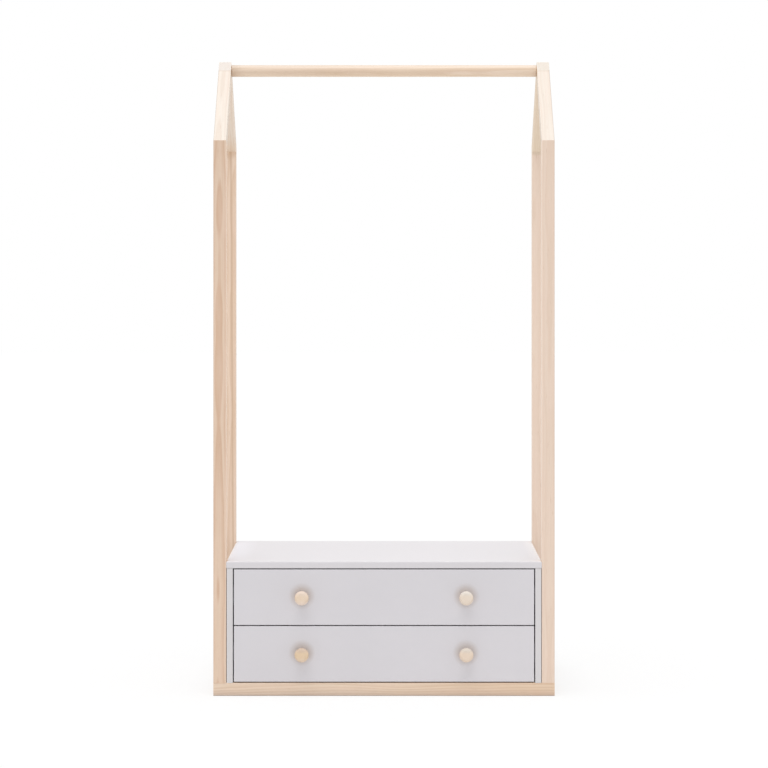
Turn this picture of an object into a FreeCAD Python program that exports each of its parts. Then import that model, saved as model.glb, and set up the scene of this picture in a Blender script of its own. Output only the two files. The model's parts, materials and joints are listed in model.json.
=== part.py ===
import FreeCAD, Part
import math
import os
import re
import Sketcher

# A child's wardrobe shaped like a house: a pine frame with a gable at each side, a round rail
# along the ridge for hangers, and a white cabinet with two drawers on the base.
# Millimetres, x to the right, y to the back, z up. The origin is on the floor, in the middle of
# the whole piece with its knobs. "left" is the side at the left of someone facing the drawers.

# Driving sizes. A share is a part of the size named in its remark.
SIZES = {
    # Timber frame
    "width": 900,
    "depth": 445,
    "eave_height": 1465,
    "roof_pitch": 45,
    "timber": 34,
    "timber_arris": 2.5,
    "base_rail_height": 34,
    "rail_diameter": 32,
    "rail_end_chamfer": 2,
    # Offset of the two fasteners of a timber joint from its centre, of the timber's width
    "pair_share": 0.27,
    # Room round a fastener in its hole, room past its end, and the run past a face that cuts take
    "hole_room": 0.1,
    "hole_end_room": 1,
    "overrun": 1,
    # Beech dowels of the frame and the cabinet; the sink is the length in the cross piece
    "dowel_diameter": 8,
    "dowel_length": 30,
    "dowel_chamfer": 0.8,
    "dowel_sink": 12,
    # Furniture bolts with flat heads, and the barrel nuts that they pull on
    "bolt_diameter": 6,
    "bolt_length": 70,
    "bolt_head_diameter": 15,
    "bolt_head_height": 2.5,
    "bolt_recess": 3,
    "bolt_socket": 4,
    "bolt_socket_depth": 2,
    "bolt_past_nut": 8,
    "nut_diameter": 10,
    "nut_length": 14,
    "nut_slot_width": 1.2,
    "nut_slot_depth": 1.5,
    # Cabinet boards: the top and the drawer fronts, and the thinner sides and bottom, with the room
    # that a side leaves to its posts
    "cabinet_height": 354,
    "board": 18,
    "carcass_board": 16,
    "side_room": 1.2,
    "top_round": 3,
    "board_round": 1,
    "back_thickness": 3,
    "back_inset": 8,
    "groove_depth": 6,
    "groove_room": 0.2,
    "bottom_setback": 3,
    # Cam locks and their bolts
    "cam_diameter": 15,
    "cam_height": 12.5,
    "cam_distance": 34,
    "cam_inset": 60,
    "cam_bolt_sink": 11,
    "cam_bolt_thread": 5,
    "cam_bolt_stem": 6.8,
    "cam_bolt_neck": 4.4,
    "cam_bolt_neck_length": 4,
    "cam_bolt_head_length": 3.5,
    "cam_slot_width": 1.6,
    "cam_slot_depth": 2,
    "cabinet_dowel_inset": 100,
    # Screws from the cabinet sides into the posts; the share is of the timber's width
    "screw_diameter": 4,
    "screw_head": 8,
    "screw_length": 30,
    "screw_tip": 3,
    "screw_rise": 30,
    "screw_share": 0.6,
    # Cross recesses of the screws: reach, width and depth of an arm, of the head's width
    "recess_reach_share": 0.28,
    "recess_width_share": 0.15,
    "recess_depth_share": 0.2,
    # Drawers
    "drawer_gap": 3,
    "front_round": 1.5,
    "drawer_board": 12,
    "drawer_board_round": 1.5,
    "drawer_bottom": 3,
    "drawer_groove": 6,
    "bottom_lift": 10,
    "box_room_below": 7,
    "box_room_above": 16,
    "box_room_behind": 16,
    "drawer_dowel_diameter": 6,
    "drawer_dowel_length": 28,
    "drawer_dowel_sink": 8,
    # Heights of the two dowels in a drawer's corner, of the box's height
    "low_dowel_share": 0.35,
    "high_dowel_share": 0.8,
    # Telescopic runners: the rolled steel, the races for the balls and the cages in them
    "runner_height": 45,
    "runner_thickness": 12.7,
    "runner_setback": 2,
    "steel": 1.2,
    "race": 3.6,
    "lip": 1.5,
    "cabinet_member_setback": 1.7,
    "middle_member_setback": 2.5,
    "extension_shortfall": 6,
    "cage_sheet": 0.4,
    "cage_room": 0.2,
    "cage_margin": 2,
    "access_hole": 9,
    "runner_screw_diameter": 3.5,
    "runner_screw_head": 7,
    "runner_screw_length": 11,
    "runner_screw_tip": 2,
    "runner_screw_inset": 35,
    # Turned knobs; the share is of half the width of a drawer front
    "knob_share": 0.547,
    "knob_projection": 28,
    "knob_diameter": 37,
    "knob_head": 15,
    "knob_face_round": 8,
    "knob_back_round": 4,
    "knob_neck": 17,
    "knob_foot": 22,
    "knob_foot_height": 4,
    "knob_screw_diameter": 4,
    "knob_screw_head": 8,
    "knob_screw_head_height": 2.6,
    "knob_screw_length": 30,
    "knob_screw_slot_width": 1,
    "knob_screw_slot_depth": 1.2,
}

# Sizes and places worked out from the driving sizes.
PLACES = {
    # Faces of the frame
    "front": "-1 * (depth - knob_projection) / 2",
    "back": "front + depth",
    "middle": "front + depth / 2",
    "half_width": "width / 2",
    "post_inside": "half_width - timber",
    # Gable: the mitre at the eave, and the joint under the apex
    "apex": "eave_height + depth / 2 * tan(roof_pitch * 1 deg)",
    "mitre_angle": "(90 - roof_pitch) / 2",
    "eave_drop": "timber * tan(mitre_angle * 1 deg)",
    "seam_run": "timber / sin(2 * roof_pitch * 1 deg)",
    "ridge_drop": "timber / cos(roof_pitch * 1 deg)",
    "seam_y": "middle - seam_run * cos(roof_pitch * 1 deg)",
    "seam_z": "apex - seam_run * sin(roof_pitch * 1 deg)",
    "ridge_y": "(seam_y + middle) / 2",
    "ridge_z": "(seam_z + apex - ridge_drop) / 2",
    "rail_level": "apex - ridge_drop / 2",
    # Fasteners of the frame, on the left side
    "outer_x": "timber * (0.5 - pair_share) - half_width",
    "inner_x": "timber * (0.5 + pair_share) - half_width",
    "timber_x": "timber / 2 - half_width",
    "post_y": "front + timber / 2",
    "low_z": "base_rail_height * (0.5 - pair_share)",
    "high_z": "base_rail_height * (0.5 + pair_share)",
    "post_bolt_reach": "bolt_length - base_rail_height + bolt_recess",
    "post_nut_z": "base_rail_height + post_bolt_reach - bolt_past_nut",
    "rail_bolt_reach": "bolt_length - timber + bolt_recess",
    "rail_nut_x": "rail_bolt_reach - bolt_past_nut - post_inside",
    "bolt_hole": "bolt_diameter + 2 * hole_room",
    "nut_hole": "nut_diameter + 2 * hole_room",
    "head_hole": "bolt_head_diameter + 2 * hole_room",
    "dowel_hole": "dowel_diameter + 2 * hole_room",
    "sink_depth": "dowel_sink + hole_end_room",
    "end_grain_depth": "dowel_length - dowel_sink + hole_end_room",
    "mitre_depth": "dowel_length / 2 + hole_end_room",
    # Cabinet
    "side_outside": "post_inside - side_room",
    "side_inside": "side_outside - carcass_board",
    "side_x": "-1 * (side_inside + carcass_board / 2)",
    "under_top": "cabinet_height - board",
    "panel_front": "back - back_inset - back_thickness",
    "groove_front": "panel_front - groove_room",
    "groove_back": "panel_front + back_thickness + groove_room",
    "groove_reach": "side_inside + groove_depth",
    "bottom_z": "base_rail_height + carcass_board / 2",
    "front_cam_y": "front + cam_inset",
    "back_cam_y": "back - cam_inset",
    "front_dowel_y": "front + cabinet_dowel_inset",
    "back_dowel_y": "back - cabinet_dowel_inset",
    "cam_hole": "cam_diameter + 2 * hole_room",
    "cam_depth": "cam_height + hole_end_room",
    "cam_bolt_hole": "cam_bolt_stem + 2 * hole_room",
    "cam_thread_hole": "cam_bolt_thread + 2 * hole_room",
    "cam_thread_depth": "cam_bolt_sink + hole_end_room",
    "screw_y": "front + timber * screw_share",
    "back_screw_y": "back - timber * screw_share",
    "low_screw_z": "base_rail_height + post_bolt_reach + hole_end_room + screw_head",
    "high_screw_z": "under_top - screw_rise",
    # Drawers, in a frame of their own: x = 0 in the middle, y = 0 at the front face, z = 0 at the
    # bottom edge of the front
    "front_half": "side_inside - drawer_gap",
    "front_height": "(under_top - base_rail_height - 3 * drawer_gap) / 2",
    "lower_level": "base_rail_height + drawer_gap",
    "upper_level": "lower_level + front_height + drawer_gap",
    "box_outside": "side_inside - runner_thickness",
    "box_inside": "box_outside - drawer_board",
    "box_low": "carcass_board - drawer_gap + box_room_below",
    "box_high": "front_height - box_room_above",
    "box_height": "box_high - box_low",
    "box_length": "panel_front - front - board - box_room_behind",
    "box_end": "board + box_length",
    "box_groove": "box_inside + drawer_groove",
    "bottom_low": "box_low + bottom_lift",
    "bottom_high": "bottom_low + drawer_bottom",
    "drawer_dowel_hole": "drawer_dowel_diameter + 2 * hole_room",
    "drawer_sink_depth": "drawer_dowel_sink + hole_end_room",
    "drawer_end_depth": "drawer_dowel_length - drawer_dowel_sink + hole_end_room",
    "drawer_side_x": "-1 * (box_outside - drawer_board / 2)",
    "drawer_back_y": "box_end - drawer_board / 2",
    "low_dowel_z": "box_low + box_height * low_dowel_share",
    "high_dowel_z": "box_low + box_height * high_dowel_share",
    "knob_x": "-1 * front_half * knob_share",
    "knob_z": "front_height / 2",
    "knob_screw_reach": "knob_screw_length - board",
    "knob_screw_hole": "knob_screw_diameter + 2 * hole_room",
    # Runners, in a frame of their own: x = 0 at the cabinet's side, y = 0 at their front end,
    # z = 0 at half their height
    "runner_y": "board + runner_setback",
    "runner_level": "(box_low + box_high) / 2",
    "runner_length": "box_length - 2 * runner_setback",
    "extension": "runner_length - extension_shortfall",
    "outer_half": "runner_height / 2",
    "outer_race": "outer_half - steel",
    "middle_half": "outer_race - race",
    "middle_race": "middle_half - steel",
    "inner_half": "middle_race - race",
    "web_gap": "cage_sheet + 2 * cage_room",
    "middle_web": "steel + web_gap",
    "inner_flange": "middle_web + steel + web_gap",
    "outer_tip": "runner_thickness - cabinet_member_setback",
    "middle_tip": "runner_thickness - middle_member_setback",
    "cage_start": "extension / 4 + cage_margin",
    "cage_length": "runner_length - extension / 2 - 2 * cage_margin",
    "first_screw": "runner_screw_inset",
    "middle_screw": "runner_length / 2",
    "last_screw": "runner_length - runner_screw_inset",
    "runner_cone": "runner_screw_head + 2 * hole_room",
    "runner_hole": "runner_screw_diameter + 2 * hole_room",
    "wood_cone": "runner_cone - 2 * steel",
    "runner_screw_depth": "runner_screw_length - steel + hole_end_room",
}

# Plane that lies across each axis, and which way its normal points along that axis.
ACROSS = {"x": ("YZ_Plane", 1), "y": ("XZ_Plane", -1), "z": ("XY_Plane", 1)}
UNIT = {"x": FreeCAD.Vector(1, 0, 0), "y": FreeCAD.Vector(0, 1, 0), "z": FreeCAD.Vector(0, 0, 1)}

# Turn that points a fastener, drawn along z, another way: the axis of the turn and its degrees.
UP = None
TO_RIGHT = ("y", "90")
TO_LEFT = ("y", "-90")
HALF_ROUND = ("z", "180")

RIGHT_ANGLE = 90
NO_CHANGE = 1e-6

doc = FreeCAD.newDocument("Wardrobe")
nodes = []


def fill_sheet(name, cells):
    """A sheet with one named value in each row."""
    sheet = doc.addObject("Spreadsheet::Sheet", name)
    for row, (alias, content) in enumerate(cells.items(), start=1):
        sheet.set(f"A{row}", alias)
        sheet.set(f"B{row}", content)
        sheet.setAlias(f"B{row}", alias)
    return sheet


def formula(text):
    """A formula with each size's name led by the name of its sheet."""
    return re.sub("[a-z_]+", lambda word: SHEET_OF.get(word[0], "") + word[0], text)


SHEET_OF = {name: "Sizes." for name in SIZES}
SHEET_OF.update({name: "Places." for name in PLACES})
sizes = fill_sheet("Sizes", {name: str(size) for name, size in SIZES.items()})
places = fill_sheet("Places", {name: "=" + formula(text) for name, text in PLACES.items()})
doc.recompute()


def number(text):
    """The value that a formula has now."""
    value = sizes.evalExpression(formula(text))
    return float(getattr(value, "Value", value))


def bind(thing, prop, text):
    """Ties a property to a formula."""
    thing.setExpression(prop, formula(text))


def shown(thing, label):
    """Gives a finished sub-part its name and counts it as a node."""
    thing.Label = label
    nodes.append(thing)
    return thing


def new_body(name):
    return doc.addObject("PartDesign::Body", name)


def place(thing, spot, turn=UP):
    """Binds a place, and a turn about one axis, to formulas."""
    if turn:
        thing.Placement = FreeCAD.Placement(FreeCAD.Vector(), FreeCAD.Rotation(UNIT[turn[0]], RIGHT_ANGLE))
        bind(thing, "Placement.Rotation.Angle", f"({turn[1]}) * 1 deg")
    for axis, text in zip("xyz", spot):
        if text != "0":
            bind(thing, "Placement.Base." + axis, text)


def sketch(body, name, across, at):
    """An empty sketch in the plane across an axis, at a distance from the body's origin."""
    role, facing = ACROSS[across]
    plane = next(feature for feature in body.Origin.OriginFeatures if feature.Role == role)
    drawing = body.newObject("Sketcher::SketchObject", name)
    drawing.AttachmentSupport = (plane, [""])
    drawing.MapMode = "FlatFace"
    bind(drawing, "AttachmentOffset.Base.z", f"{facing} * ({at})")
    return drawing


def pin(drawing, line, end, spot):
    """Holds a point of a sketch at the formulas of its two coordinates."""
    for kind, axis, text in (("DistanceX", -2, spot[0]), ("DistanceY", -1, spot[1])):
        if text == "0":
            drawing.addConstraint(Sketcher.Constraint("PointOnObject", line, end, axis))
        else:
            index = drawing.addConstraint(Sketcher.Constraint(kind, -1, 1, line, end, number(text)))
            bind(drawing, f"Constraints[{index}]", text)


def draw_outline(drawing, spots):
    """A closed outline of straight runs through points given as pairs of formulas."""
    corners = [FreeCAD.Vector(number(u), number(v), 0) for u, v in spots]
    following = corners[1:] + corners[:1]
    for corner, other in zip(corners, following):
        drawing.addGeometry(Part.LineSegment(corner, other), False)
    for line in range(len(corners)):
        drawing.addConstraint(Sketcher.Constraint("Coincident", line, 2, (line + 1) % len(corners), 1))
    for line, spot in enumerate(spots):
        pin(drawing, line, 1, spot)


def draw_circles(drawing, centres, diameter):
    for index, spot in enumerate(centres):
        centre = FreeCAD.Vector(number(spot[0]), number(spot[1]), 0)
        drawing.addGeometry(Part.Circle(centre, UNIT["z"], number(diameter) / 2), False)
        pin(drawing, index, 3, spot)
        radius = drawing.addConstraint(Sketcher.Constraint("Radius", index, number(diameter) / 2))
        bind(drawing, f"Constraints[{radius}]", f"({diameter}) / 2")


def rectangle(left, low, right, high):
    return [(left, low), (right, low), (right, high), (left, high)]


def extrude(body, name, across, at, length, spots):
    """Pads an outline from its plane towards the far end of the axis."""
    drawing = sketch(body, name + "_outline", across, at)
    draw_outline(drawing, spots)
    feature = body.newObject("PartDesign::Pad", name)
    feature.Profile = drawing
    feature.Reversed = ACROSS[across][1] < 0
    bind(feature, "Length", length)
    doc.recompute()
    return feature


def cut_in(body, drawing, across, toward, depth, taper=False):
    """Pockets a sketch towards the far (1) or near (-1) end of the axis, and sees that it cuts."""
    before = body.Tip.Shape.Volume
    feature = body.newObject("PartDesign::Pocket", drawing.Name + "_cut")
    feature.Profile = drawing
    feature.Reversed = toward == ACROSS[across][1]
    bind(feature, "Length", depth)
    if taper:
        bind(feature, "TaperAngle", "-45 * 1 deg")
    doc.recompute()
    if before - feature.Shape.Volume < NO_CHANGE:
        raise RuntimeError(f"{drawing.Name} cuts nothing from {body.Name}")
    return feature


def drill(body, name, across, at, toward, centres, diameter, depth):
    """A set of round holes from one face."""
    drawing = sketch(body, name, across, at)
    draw_circles(drawing, centres, diameter)
    return cut_in(body, drawing, across, toward, depth)


def countersink(body, name, across, at, toward, centres, mouth, hole):
    """Right-angled cones that lead from a mouth down to a hole."""
    drawing = sketch(body, name, across, at)
    draw_circles(drawing, centres, mouth)
    return cut_in(body, drawing, across, toward, f"({mouth} - {hole}) / 2", taper=True)


def recess(body, name, across, at, toward, depth, spots):
    """A pocket of straight sides."""
    drawing = sketch(body, name, across, at)
    draw_outline(drawing, spots)
    return cut_in(body, drawing, across, toward, depth)


def bore(body, name, spot, turn, diameter, depth):
    """A round hole from a point, turned about x, for holes that are square to no axis."""
    before = body.Tip.Shape.Volume
    feature = body.newObject("PartDesign::SubtractiveCylinder", name)
    place(feature, spot, turn)
    bind(feature, "Radius", f"{diameter} / 2")
    bind(feature, "Height", depth)
    doc.recompute()
    if before - feature.Shape.Volume < NO_CHANGE:
        raise RuntimeError(f"{name} cuts nothing from {body.Name}")
    return feature


def soften(body, name, radius, wanted):
    """Rounds the edges of the last feature that a test picks."""
    base = body.Tip
    picked = [f"Edge{index}" for index, edge in enumerate(base.Shape.Edges, start=1) if wanted(edge)]
    feature = body.newObject("PartDesign::Fillet", name)
    feature.Base = (base, picked)
    bind(feature, "Radius", radius)
    doc.recompute()
    return feature


def runs_along(direction):
    """A test for straight edges that run along a direction."""
    def test(edge):
        if edge.Curve.TypeId != "Part::GeomLine":
            return False
        return abs(abs(edge.tangentAt(edge.FirstParameter).dot(direction)) - 1) < NO_CHANGE
    return test


def lies_at(axis, level):
    """A test for edges that lie in a plane across an axis."""
    def test(edge):
        return all(abs(vertex.Point.dot(UNIT[axis]) - level) < NO_CHANGE for vertex in edge.Vertexes)
    return test


def turned(body, name, spots):
    """A piece turned about z, from the points of half its section as (radius, height)."""
    drawing = sketch(body, name + "_section", "y", "0")
    draw_outline(drawing, spots)
    feature = body.newObject("PartDesign::Revolution", name)
    feature.Profile = drawing
    feature.ReferenceAxis = (drawing, ["V_Axis"])
    doc.recompute()
    return feature


def mirrored(label, source, across="x", at="0"):
    """The piece on the other side of a plane across an axis."""
    feature = doc.addObject("Part::Mirroring", label)
    feature.Source = source
    feature.Normal = UNIT[across]
    if at != "0":
        bind(feature, "Base." + across, at)
    return feature


def compound(label, members):
    feature = doc.addObject("Part::Compound", label)
    feature.Links = members
    return feature


def group(label, pattern, spots):
    """Copies of a fastener at the left spots and, mirrored, at the right ones."""
    copies = []
    for index, (spot, turn) in enumerate(spots, start=1):
        copy = doc.addObject("App::Link", f"{label}_{index}")
        copy.LinkedObject = pattern
        place(copy, spot, turn)
        copies.append(copy)
    left = compound(label + "_left", copies)
    right = mirrored(label + "_right", left)
    return shown(compound(label, [left, right]), label)


# Timber frame

SLOPE = math.radians(SIZES["roof_pitch"])
UP_FRONT_SLOPE = FreeCAD.Vector(0, math.cos(SLOPE), math.sin(SLOPE))
UP_BACK_SLOPE = FreeCAD.Vector(0, -math.cos(SLOPE), math.sin(SLOPE))
EAVE_PAIR = [("outer", "outer_x"), ("inner", "inner_x")]


def make_post():
    """A corner post: it stands on the base rail and meets the rafter in a mitre."""
    body = new_body("front_left_post")
    extrude(body, "post", "x", "-1 * half_width", "timber", [
        ("front", "base_rail_height"),
        ("front + timber", "base_rail_height"),
        ("front + timber", "eave_height - eave_drop"),
        ("front", "eave_height"),
    ])
    soften(body, "post_arrises", "timber_arris", runs_along(UNIT["z"]))
    drill(body, "post_bolt_hole", "z", "base_rail_height", 1, [("inner_x", "post_y")],
          "bolt_hole", "post_bolt_reach + hole_end_room")
    drill(body, "post_dowel_hole", "z", "base_rail_height", 1, [("outer_x", "post_y")],
          "dowel_hole", "end_grain_depth")
    drill(body, "post_nut_hole", "x", "-1 * post_inside", -1, [("post_y", "post_nut_z")],
          "nut_hole", "nut_length / 2 - inner_x - post_inside + hole_end_room")
    for name, x in EAVE_PAIR:
        bore(body, f"post_{name}_eave_hole", (x, "post_y", "eave_height - eave_drop / 2"),
             ("x", "180 - mitre_angle"), "dowel_hole", "mitre_depth")
    drill(body, "post_screw_holes", "x", "-1 * post_inside", -1,
          [("screw_y", "low_screw_z"), ("screw_y", "high_screw_z")],
          "screw_diameter + 2 * hole_room", "side_inside + screw_length - post_inside + hole_end_room")
    left = shown(body, "front_left_post")
    right = shown(mirrored("front_right_post", left), "front_right_post")
    for source, label in ((left, "back_left_post"), (right, "back_right_post")):
        shown(mirrored(label, source, "y", "middle"), label)


def make_front_rafter():
    """A front rafter: mitred at the eave, butted under the back rafter at the ridge."""
    body = new_body("front_left_rafter")
    extrude(body, "front_rafter", "x", "-1 * half_width", "timber", [
        ("front", "eave_height"),
        ("seam_y", "seam_z"),
        ("middle", "apex - ridge_drop"),
        ("front + timber", "eave_height - eave_drop"),
    ])
    soften(body, "front_rafter_arrises", "timber_arris", runs_along(UP_FRONT_SLOPE))
    for name, x in EAVE_PAIR:
        bore(body, f"front_rafter_{name}_eave_hole", (x, "post_y", "eave_height - eave_drop / 2"),
             ("x", "-1 * mitre_angle"), "dowel_hole", "mitre_depth")
        bore(body, f"front_rafter_{name}_ridge_hole", (x, "ridge_y", "ridge_z"),
             ("x", "90 + roof_pitch"), "dowel_hole", "end_grain_depth")
    left = shown(body, "front_left_rafter")
    shown(mirrored("front_right_rafter", left), "front_right_rafter")


def make_back_rafter():
    """A back rafter: it runs through to the apex, where its end lies in the front slope."""
    body = new_body("back_left_rafter")
    extrude(body, "back_rafter", "x", "-1 * half_width", "timber", [
        ("back", "eave_height"),
        ("middle", "apex"),
        ("seam_y", "seam_z"),
        ("back - timber", "eave_height - eave_drop"),
    ])
    soften(body, "back_rafter_arrises", "timber_arris", runs_along(UP_BACK_SLOPE))
    for name, x in EAVE_PAIR:
        bore(body, f"back_rafter_{name}_eave_hole",
             (x, "back - timber / 2", "eave_height - eave_drop / 2"),
             ("x", "mitre_angle"), "dowel_hole", "mitre_depth")
        bore(body, f"back_rafter_{name}_ridge_hole", (x, "ridge_y", "ridge_z"),
             ("x", "roof_pitch - 90"), "dowel_hole", "sink_depth")
    drill(body, "rafter_bolt_hole", "x", "-1 * half_width", 1, [("middle", "rail_level")],
          "bolt_hole", "timber + overrun")
    drill(body, "rafter_bolt_recess", "x", "-1 * half_width", 1, [("middle", "rail_level")],
          "head_hole", "bolt_recess")
    left = shown(body, "back_left_rafter")
    shown(mirrored("back_right_rafter", left), "back_right_rafter")


def make_cross_base_rail():
    """The front base rail, which runs under both posts, and its twin at the back."""
    body = new_body("front_base_rail")
    extrude(body, "cross_rail", "x", "-1 * half_width", "width",
            rectangle("front", "0", "front + timber", "base_rail_height"))
    soften(body, "cross_rail_arrises", "timber_arris", runs_along(UNIT["x"]))
    bolts = [("inner_x", "post_y"), ("-1 * inner_x", "post_y")]
    dowels = [("outer_x", "post_y"), ("-1 * outer_x", "post_y")]
    drill(body, "rail_bolt_holes", "z", "0", 1, bolts, "bolt_hole", "base_rail_height + overrun")
    drill(body, "rail_bolt_recesses", "z", "0", 1, bolts, "head_hole", "bolt_recess")
    drill(body, "rail_dowel_holes", "z", "base_rail_height", -1, dowels, "dowel_hole", "sink_depth")
    corner = [(x, z) for x in ("timber_x", "-1 * timber_x") for z in ("low_z", "high_z")]
    drill(body, "rail_corner_holes", "y", "front + timber", -1, corner, "dowel_hole", "sink_depth")
    front_rail = shown(body, "front_base_rail")
    shown(mirrored("back_base_rail", front_rail, "y", "middle"), "back_base_rail")


def make_side_base_rail():
    """The left base rail, between the front and back ones, and its twin on the right."""
    body = new_body("left_base_rail")
    extrude(body, "side_rail", "y", "front + timber", "depth - 2 * timber",
            rectangle("-1 * half_width", "0", "-1 * post_inside", "base_rail_height"))
    soften(body, "side_rail_arrises", "timber_arris", runs_along(UNIT["y"]))
    pair = [("timber_x", "low_z"), ("timber_x", "high_z")]
    drill(body, "side_rail_front_holes", "y", "front + timber", 1, pair, "dowel_hole", "end_grain_depth")
    drill(body, "side_rail_back_holes", "y", "back - timber", -1, pair, "dowel_hole", "end_grain_depth")
    left = shown(body, "left_base_rail")
    shown(mirrored("right_base_rail", left), "right_base_rail")


def make_hanging_rail():
    """The round rail between the gables, under the apex, with a nut hole below each end."""
    body = new_body("hanging_rail")
    drawing = sketch(body, "rail_outline", "x", "-1 * post_inside")
    draw_circles(drawing, [("middle", "rail_level")], "rail_diameter")
    feature = body.newObject("PartDesign::Pad", "rail")
    feature.Profile = drawing
    bind(feature, "Length", "2 * post_inside")
    doc.recompute()
    chamfer = body.newObject("PartDesign::Chamfer", "rail_ends")
    circles = [f"Edge{index}" for index, edge in enumerate(feature.Shape.Edges, start=1)
               if edge.Curve.TypeId == "Part::GeomCircle"]
    chamfer.Base = (feature, circles)
    bind(chamfer, "Size", "rail_end_chamfer")
    doc.recompute()
    for name, at, toward in (("left", "-1 * post_inside", 1), ("right", "post_inside", -1)):
        drill(body, f"rail_{name}_bolt_hole", "x", at, toward, [("middle", "rail_level")],
              "bolt_hole", "rail_bolt_reach + hole_end_room")
    nuts = [("rail_nut_x", "middle"), ("-1 * rail_nut_x", "middle")]
    drill(body, "rail_nut_holes", "z", "rail_level - rail_diameter / 2", 1, nuts,
          "nut_hole", "(rail_diameter + nut_length) / 2 + hole_end_room")
    shown(body, "hanging_rail")


def dowel(name, diameter, length):
    """A dowel along z with its middle at the origin."""
    body = new_body(name)
    turned(body, name + "_turning", [
        ("0", f"-1 * {length} / 2"),
        (f"{diameter} / 2 - dowel_chamfer", f"-1 * {length} / 2"),
        (f"{diameter} / 2", f"dowel_chamfer - {length} / 2"),
        (f"{diameter} / 2", f"{length} / 2 - dowel_chamfer"),
        (f"{diameter} / 2 - dowel_chamfer", f"{length} / 2"),
        ("0", f"{length} / 2"),
    ])
    return body


def make_frame_dowels():
    """Two dowels in each mitre, ridge joint and corner of the base, one under each post."""
    pattern = dowel("frame_dowel", "dowel_diameter", "dowel_length")
    stand_z = "base_rail_height - dowel_sink + dowel_length / 2"
    mitre_z = "eave_height - eave_drop / 2"
    past_seam = "(dowel_sink - dowel_length / 2)"
    spots = [
        (("outer_x", "post_y", stand_z), UP),
        (("outer_x", "back - timber / 2", stand_z), UP),
    ]
    for z in ("low_z", "high_z"):
        spots.append((("timber_x", "front + timber - dowel_sink + dowel_length / 2", z), ("x", "-90")))
        spots.append((("timber_x", "back - timber + dowel_sink - dowel_length / 2", z), ("x", "-90")))
    for name, x in EAVE_PAIR:
        spots.append(((x, "post_y", mitre_z), ("x", "-1 * mitre_angle")))
        spots.append(((x, "back - timber / 2", mitre_z), ("x", "mitre_angle")))
        spots.append(((x, f"ridge_y + {past_seam} * cos(roof_pitch * 1 deg)",
                       f"ridge_z + {past_seam} * sin(roof_pitch * 1 deg)"), ("x", "roof_pitch - 90")))
    group("frame_dowels", pattern, spots)


def make_frame_bolts():
    """Flat-headed bolts with a hexagon socket: one under each post, one at each end of the rail."""
    body = new_body("frame_bolt")
    turned(body, "bolt_turning", [
        ("0", "-1 * bolt_head_height"),
        ("bolt_head_diameter / 2 - bolt_head_height / 4", "-1 * bolt_head_height"),
        ("bolt_head_diameter / 2", "bolt_head_height / -2"),
        ("bolt_head_diameter / 2", "0"),
        ("bolt_diameter / 2", "0"),
        ("bolt_diameter / 2", "bolt_length - bolt_diameter / 6"),
        ("bolt_diameter / 3", "bolt_length"),
        ("0", "bolt_length"),
    ])
    corner = "bolt_socket / 2 / cos(30 deg)"
    hexagon = [(f"{corner} * cos({60 * turn} deg)", f"{corner} * sin({60 * turn} deg)") for turn in range(6)]
    recess(body, "bolt_socket_outline", "z", "-1 * bolt_head_height", 1, "bolt_socket_depth", hexagon)
    group("frame_bolts", body, [
        (("inner_x", "post_y", "bolt_recess"), UP),
        (("inner_x", "back - timber / 2", "bolt_recess"), UP),
        (("bolt_recess - half_width", "middle", "rail_level"), TO_RIGHT),
    ])


def make_barrel_nuts():
    """Cross dowels of steel with a threaded hole through the middle and a slot in one end."""
    body = new_body("barrel_nut")
    turned(body, "nut_turning", rectangle("0", "-1 * nut_length / 2", "nut_diameter / 2", "nut_length / 2"))
    drill(body, "nut_thread", "x", "-1 * nut_diameter / 2", 1, [("0", "0")], "bolt_hole", "nut_diameter")
    recess(body, "nut_slot", "z", "-1 * nut_length / 2", 1, "nut_slot_depth",
           rectangle("-1 * nut_slot_width / 2", "-1 * nut_diameter", "nut_slot_width / 2", "nut_diameter"))
    group("barrel_nuts", body, [
        (("inner_x", "post_y", "post_nut_z"), TO_LEFT),
        (("inner_x", "back - timber / 2", "post_nut_z"), TO_LEFT),
        (("rail_nut_x", "middle", "rail_level"), UP),
    ])


# Cabinet

CAM_ROWS = ("front_cam_y", "back_cam_y")
DOWEL_ROWS = ("front_dowel_y", "back_dowel_y")
LEVELS = (("lower", "lower_level"), ("upper", "upper_level"))
RUNNER_SCREWS = ("first_screw", "middle_screw", "last_screw")


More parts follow.
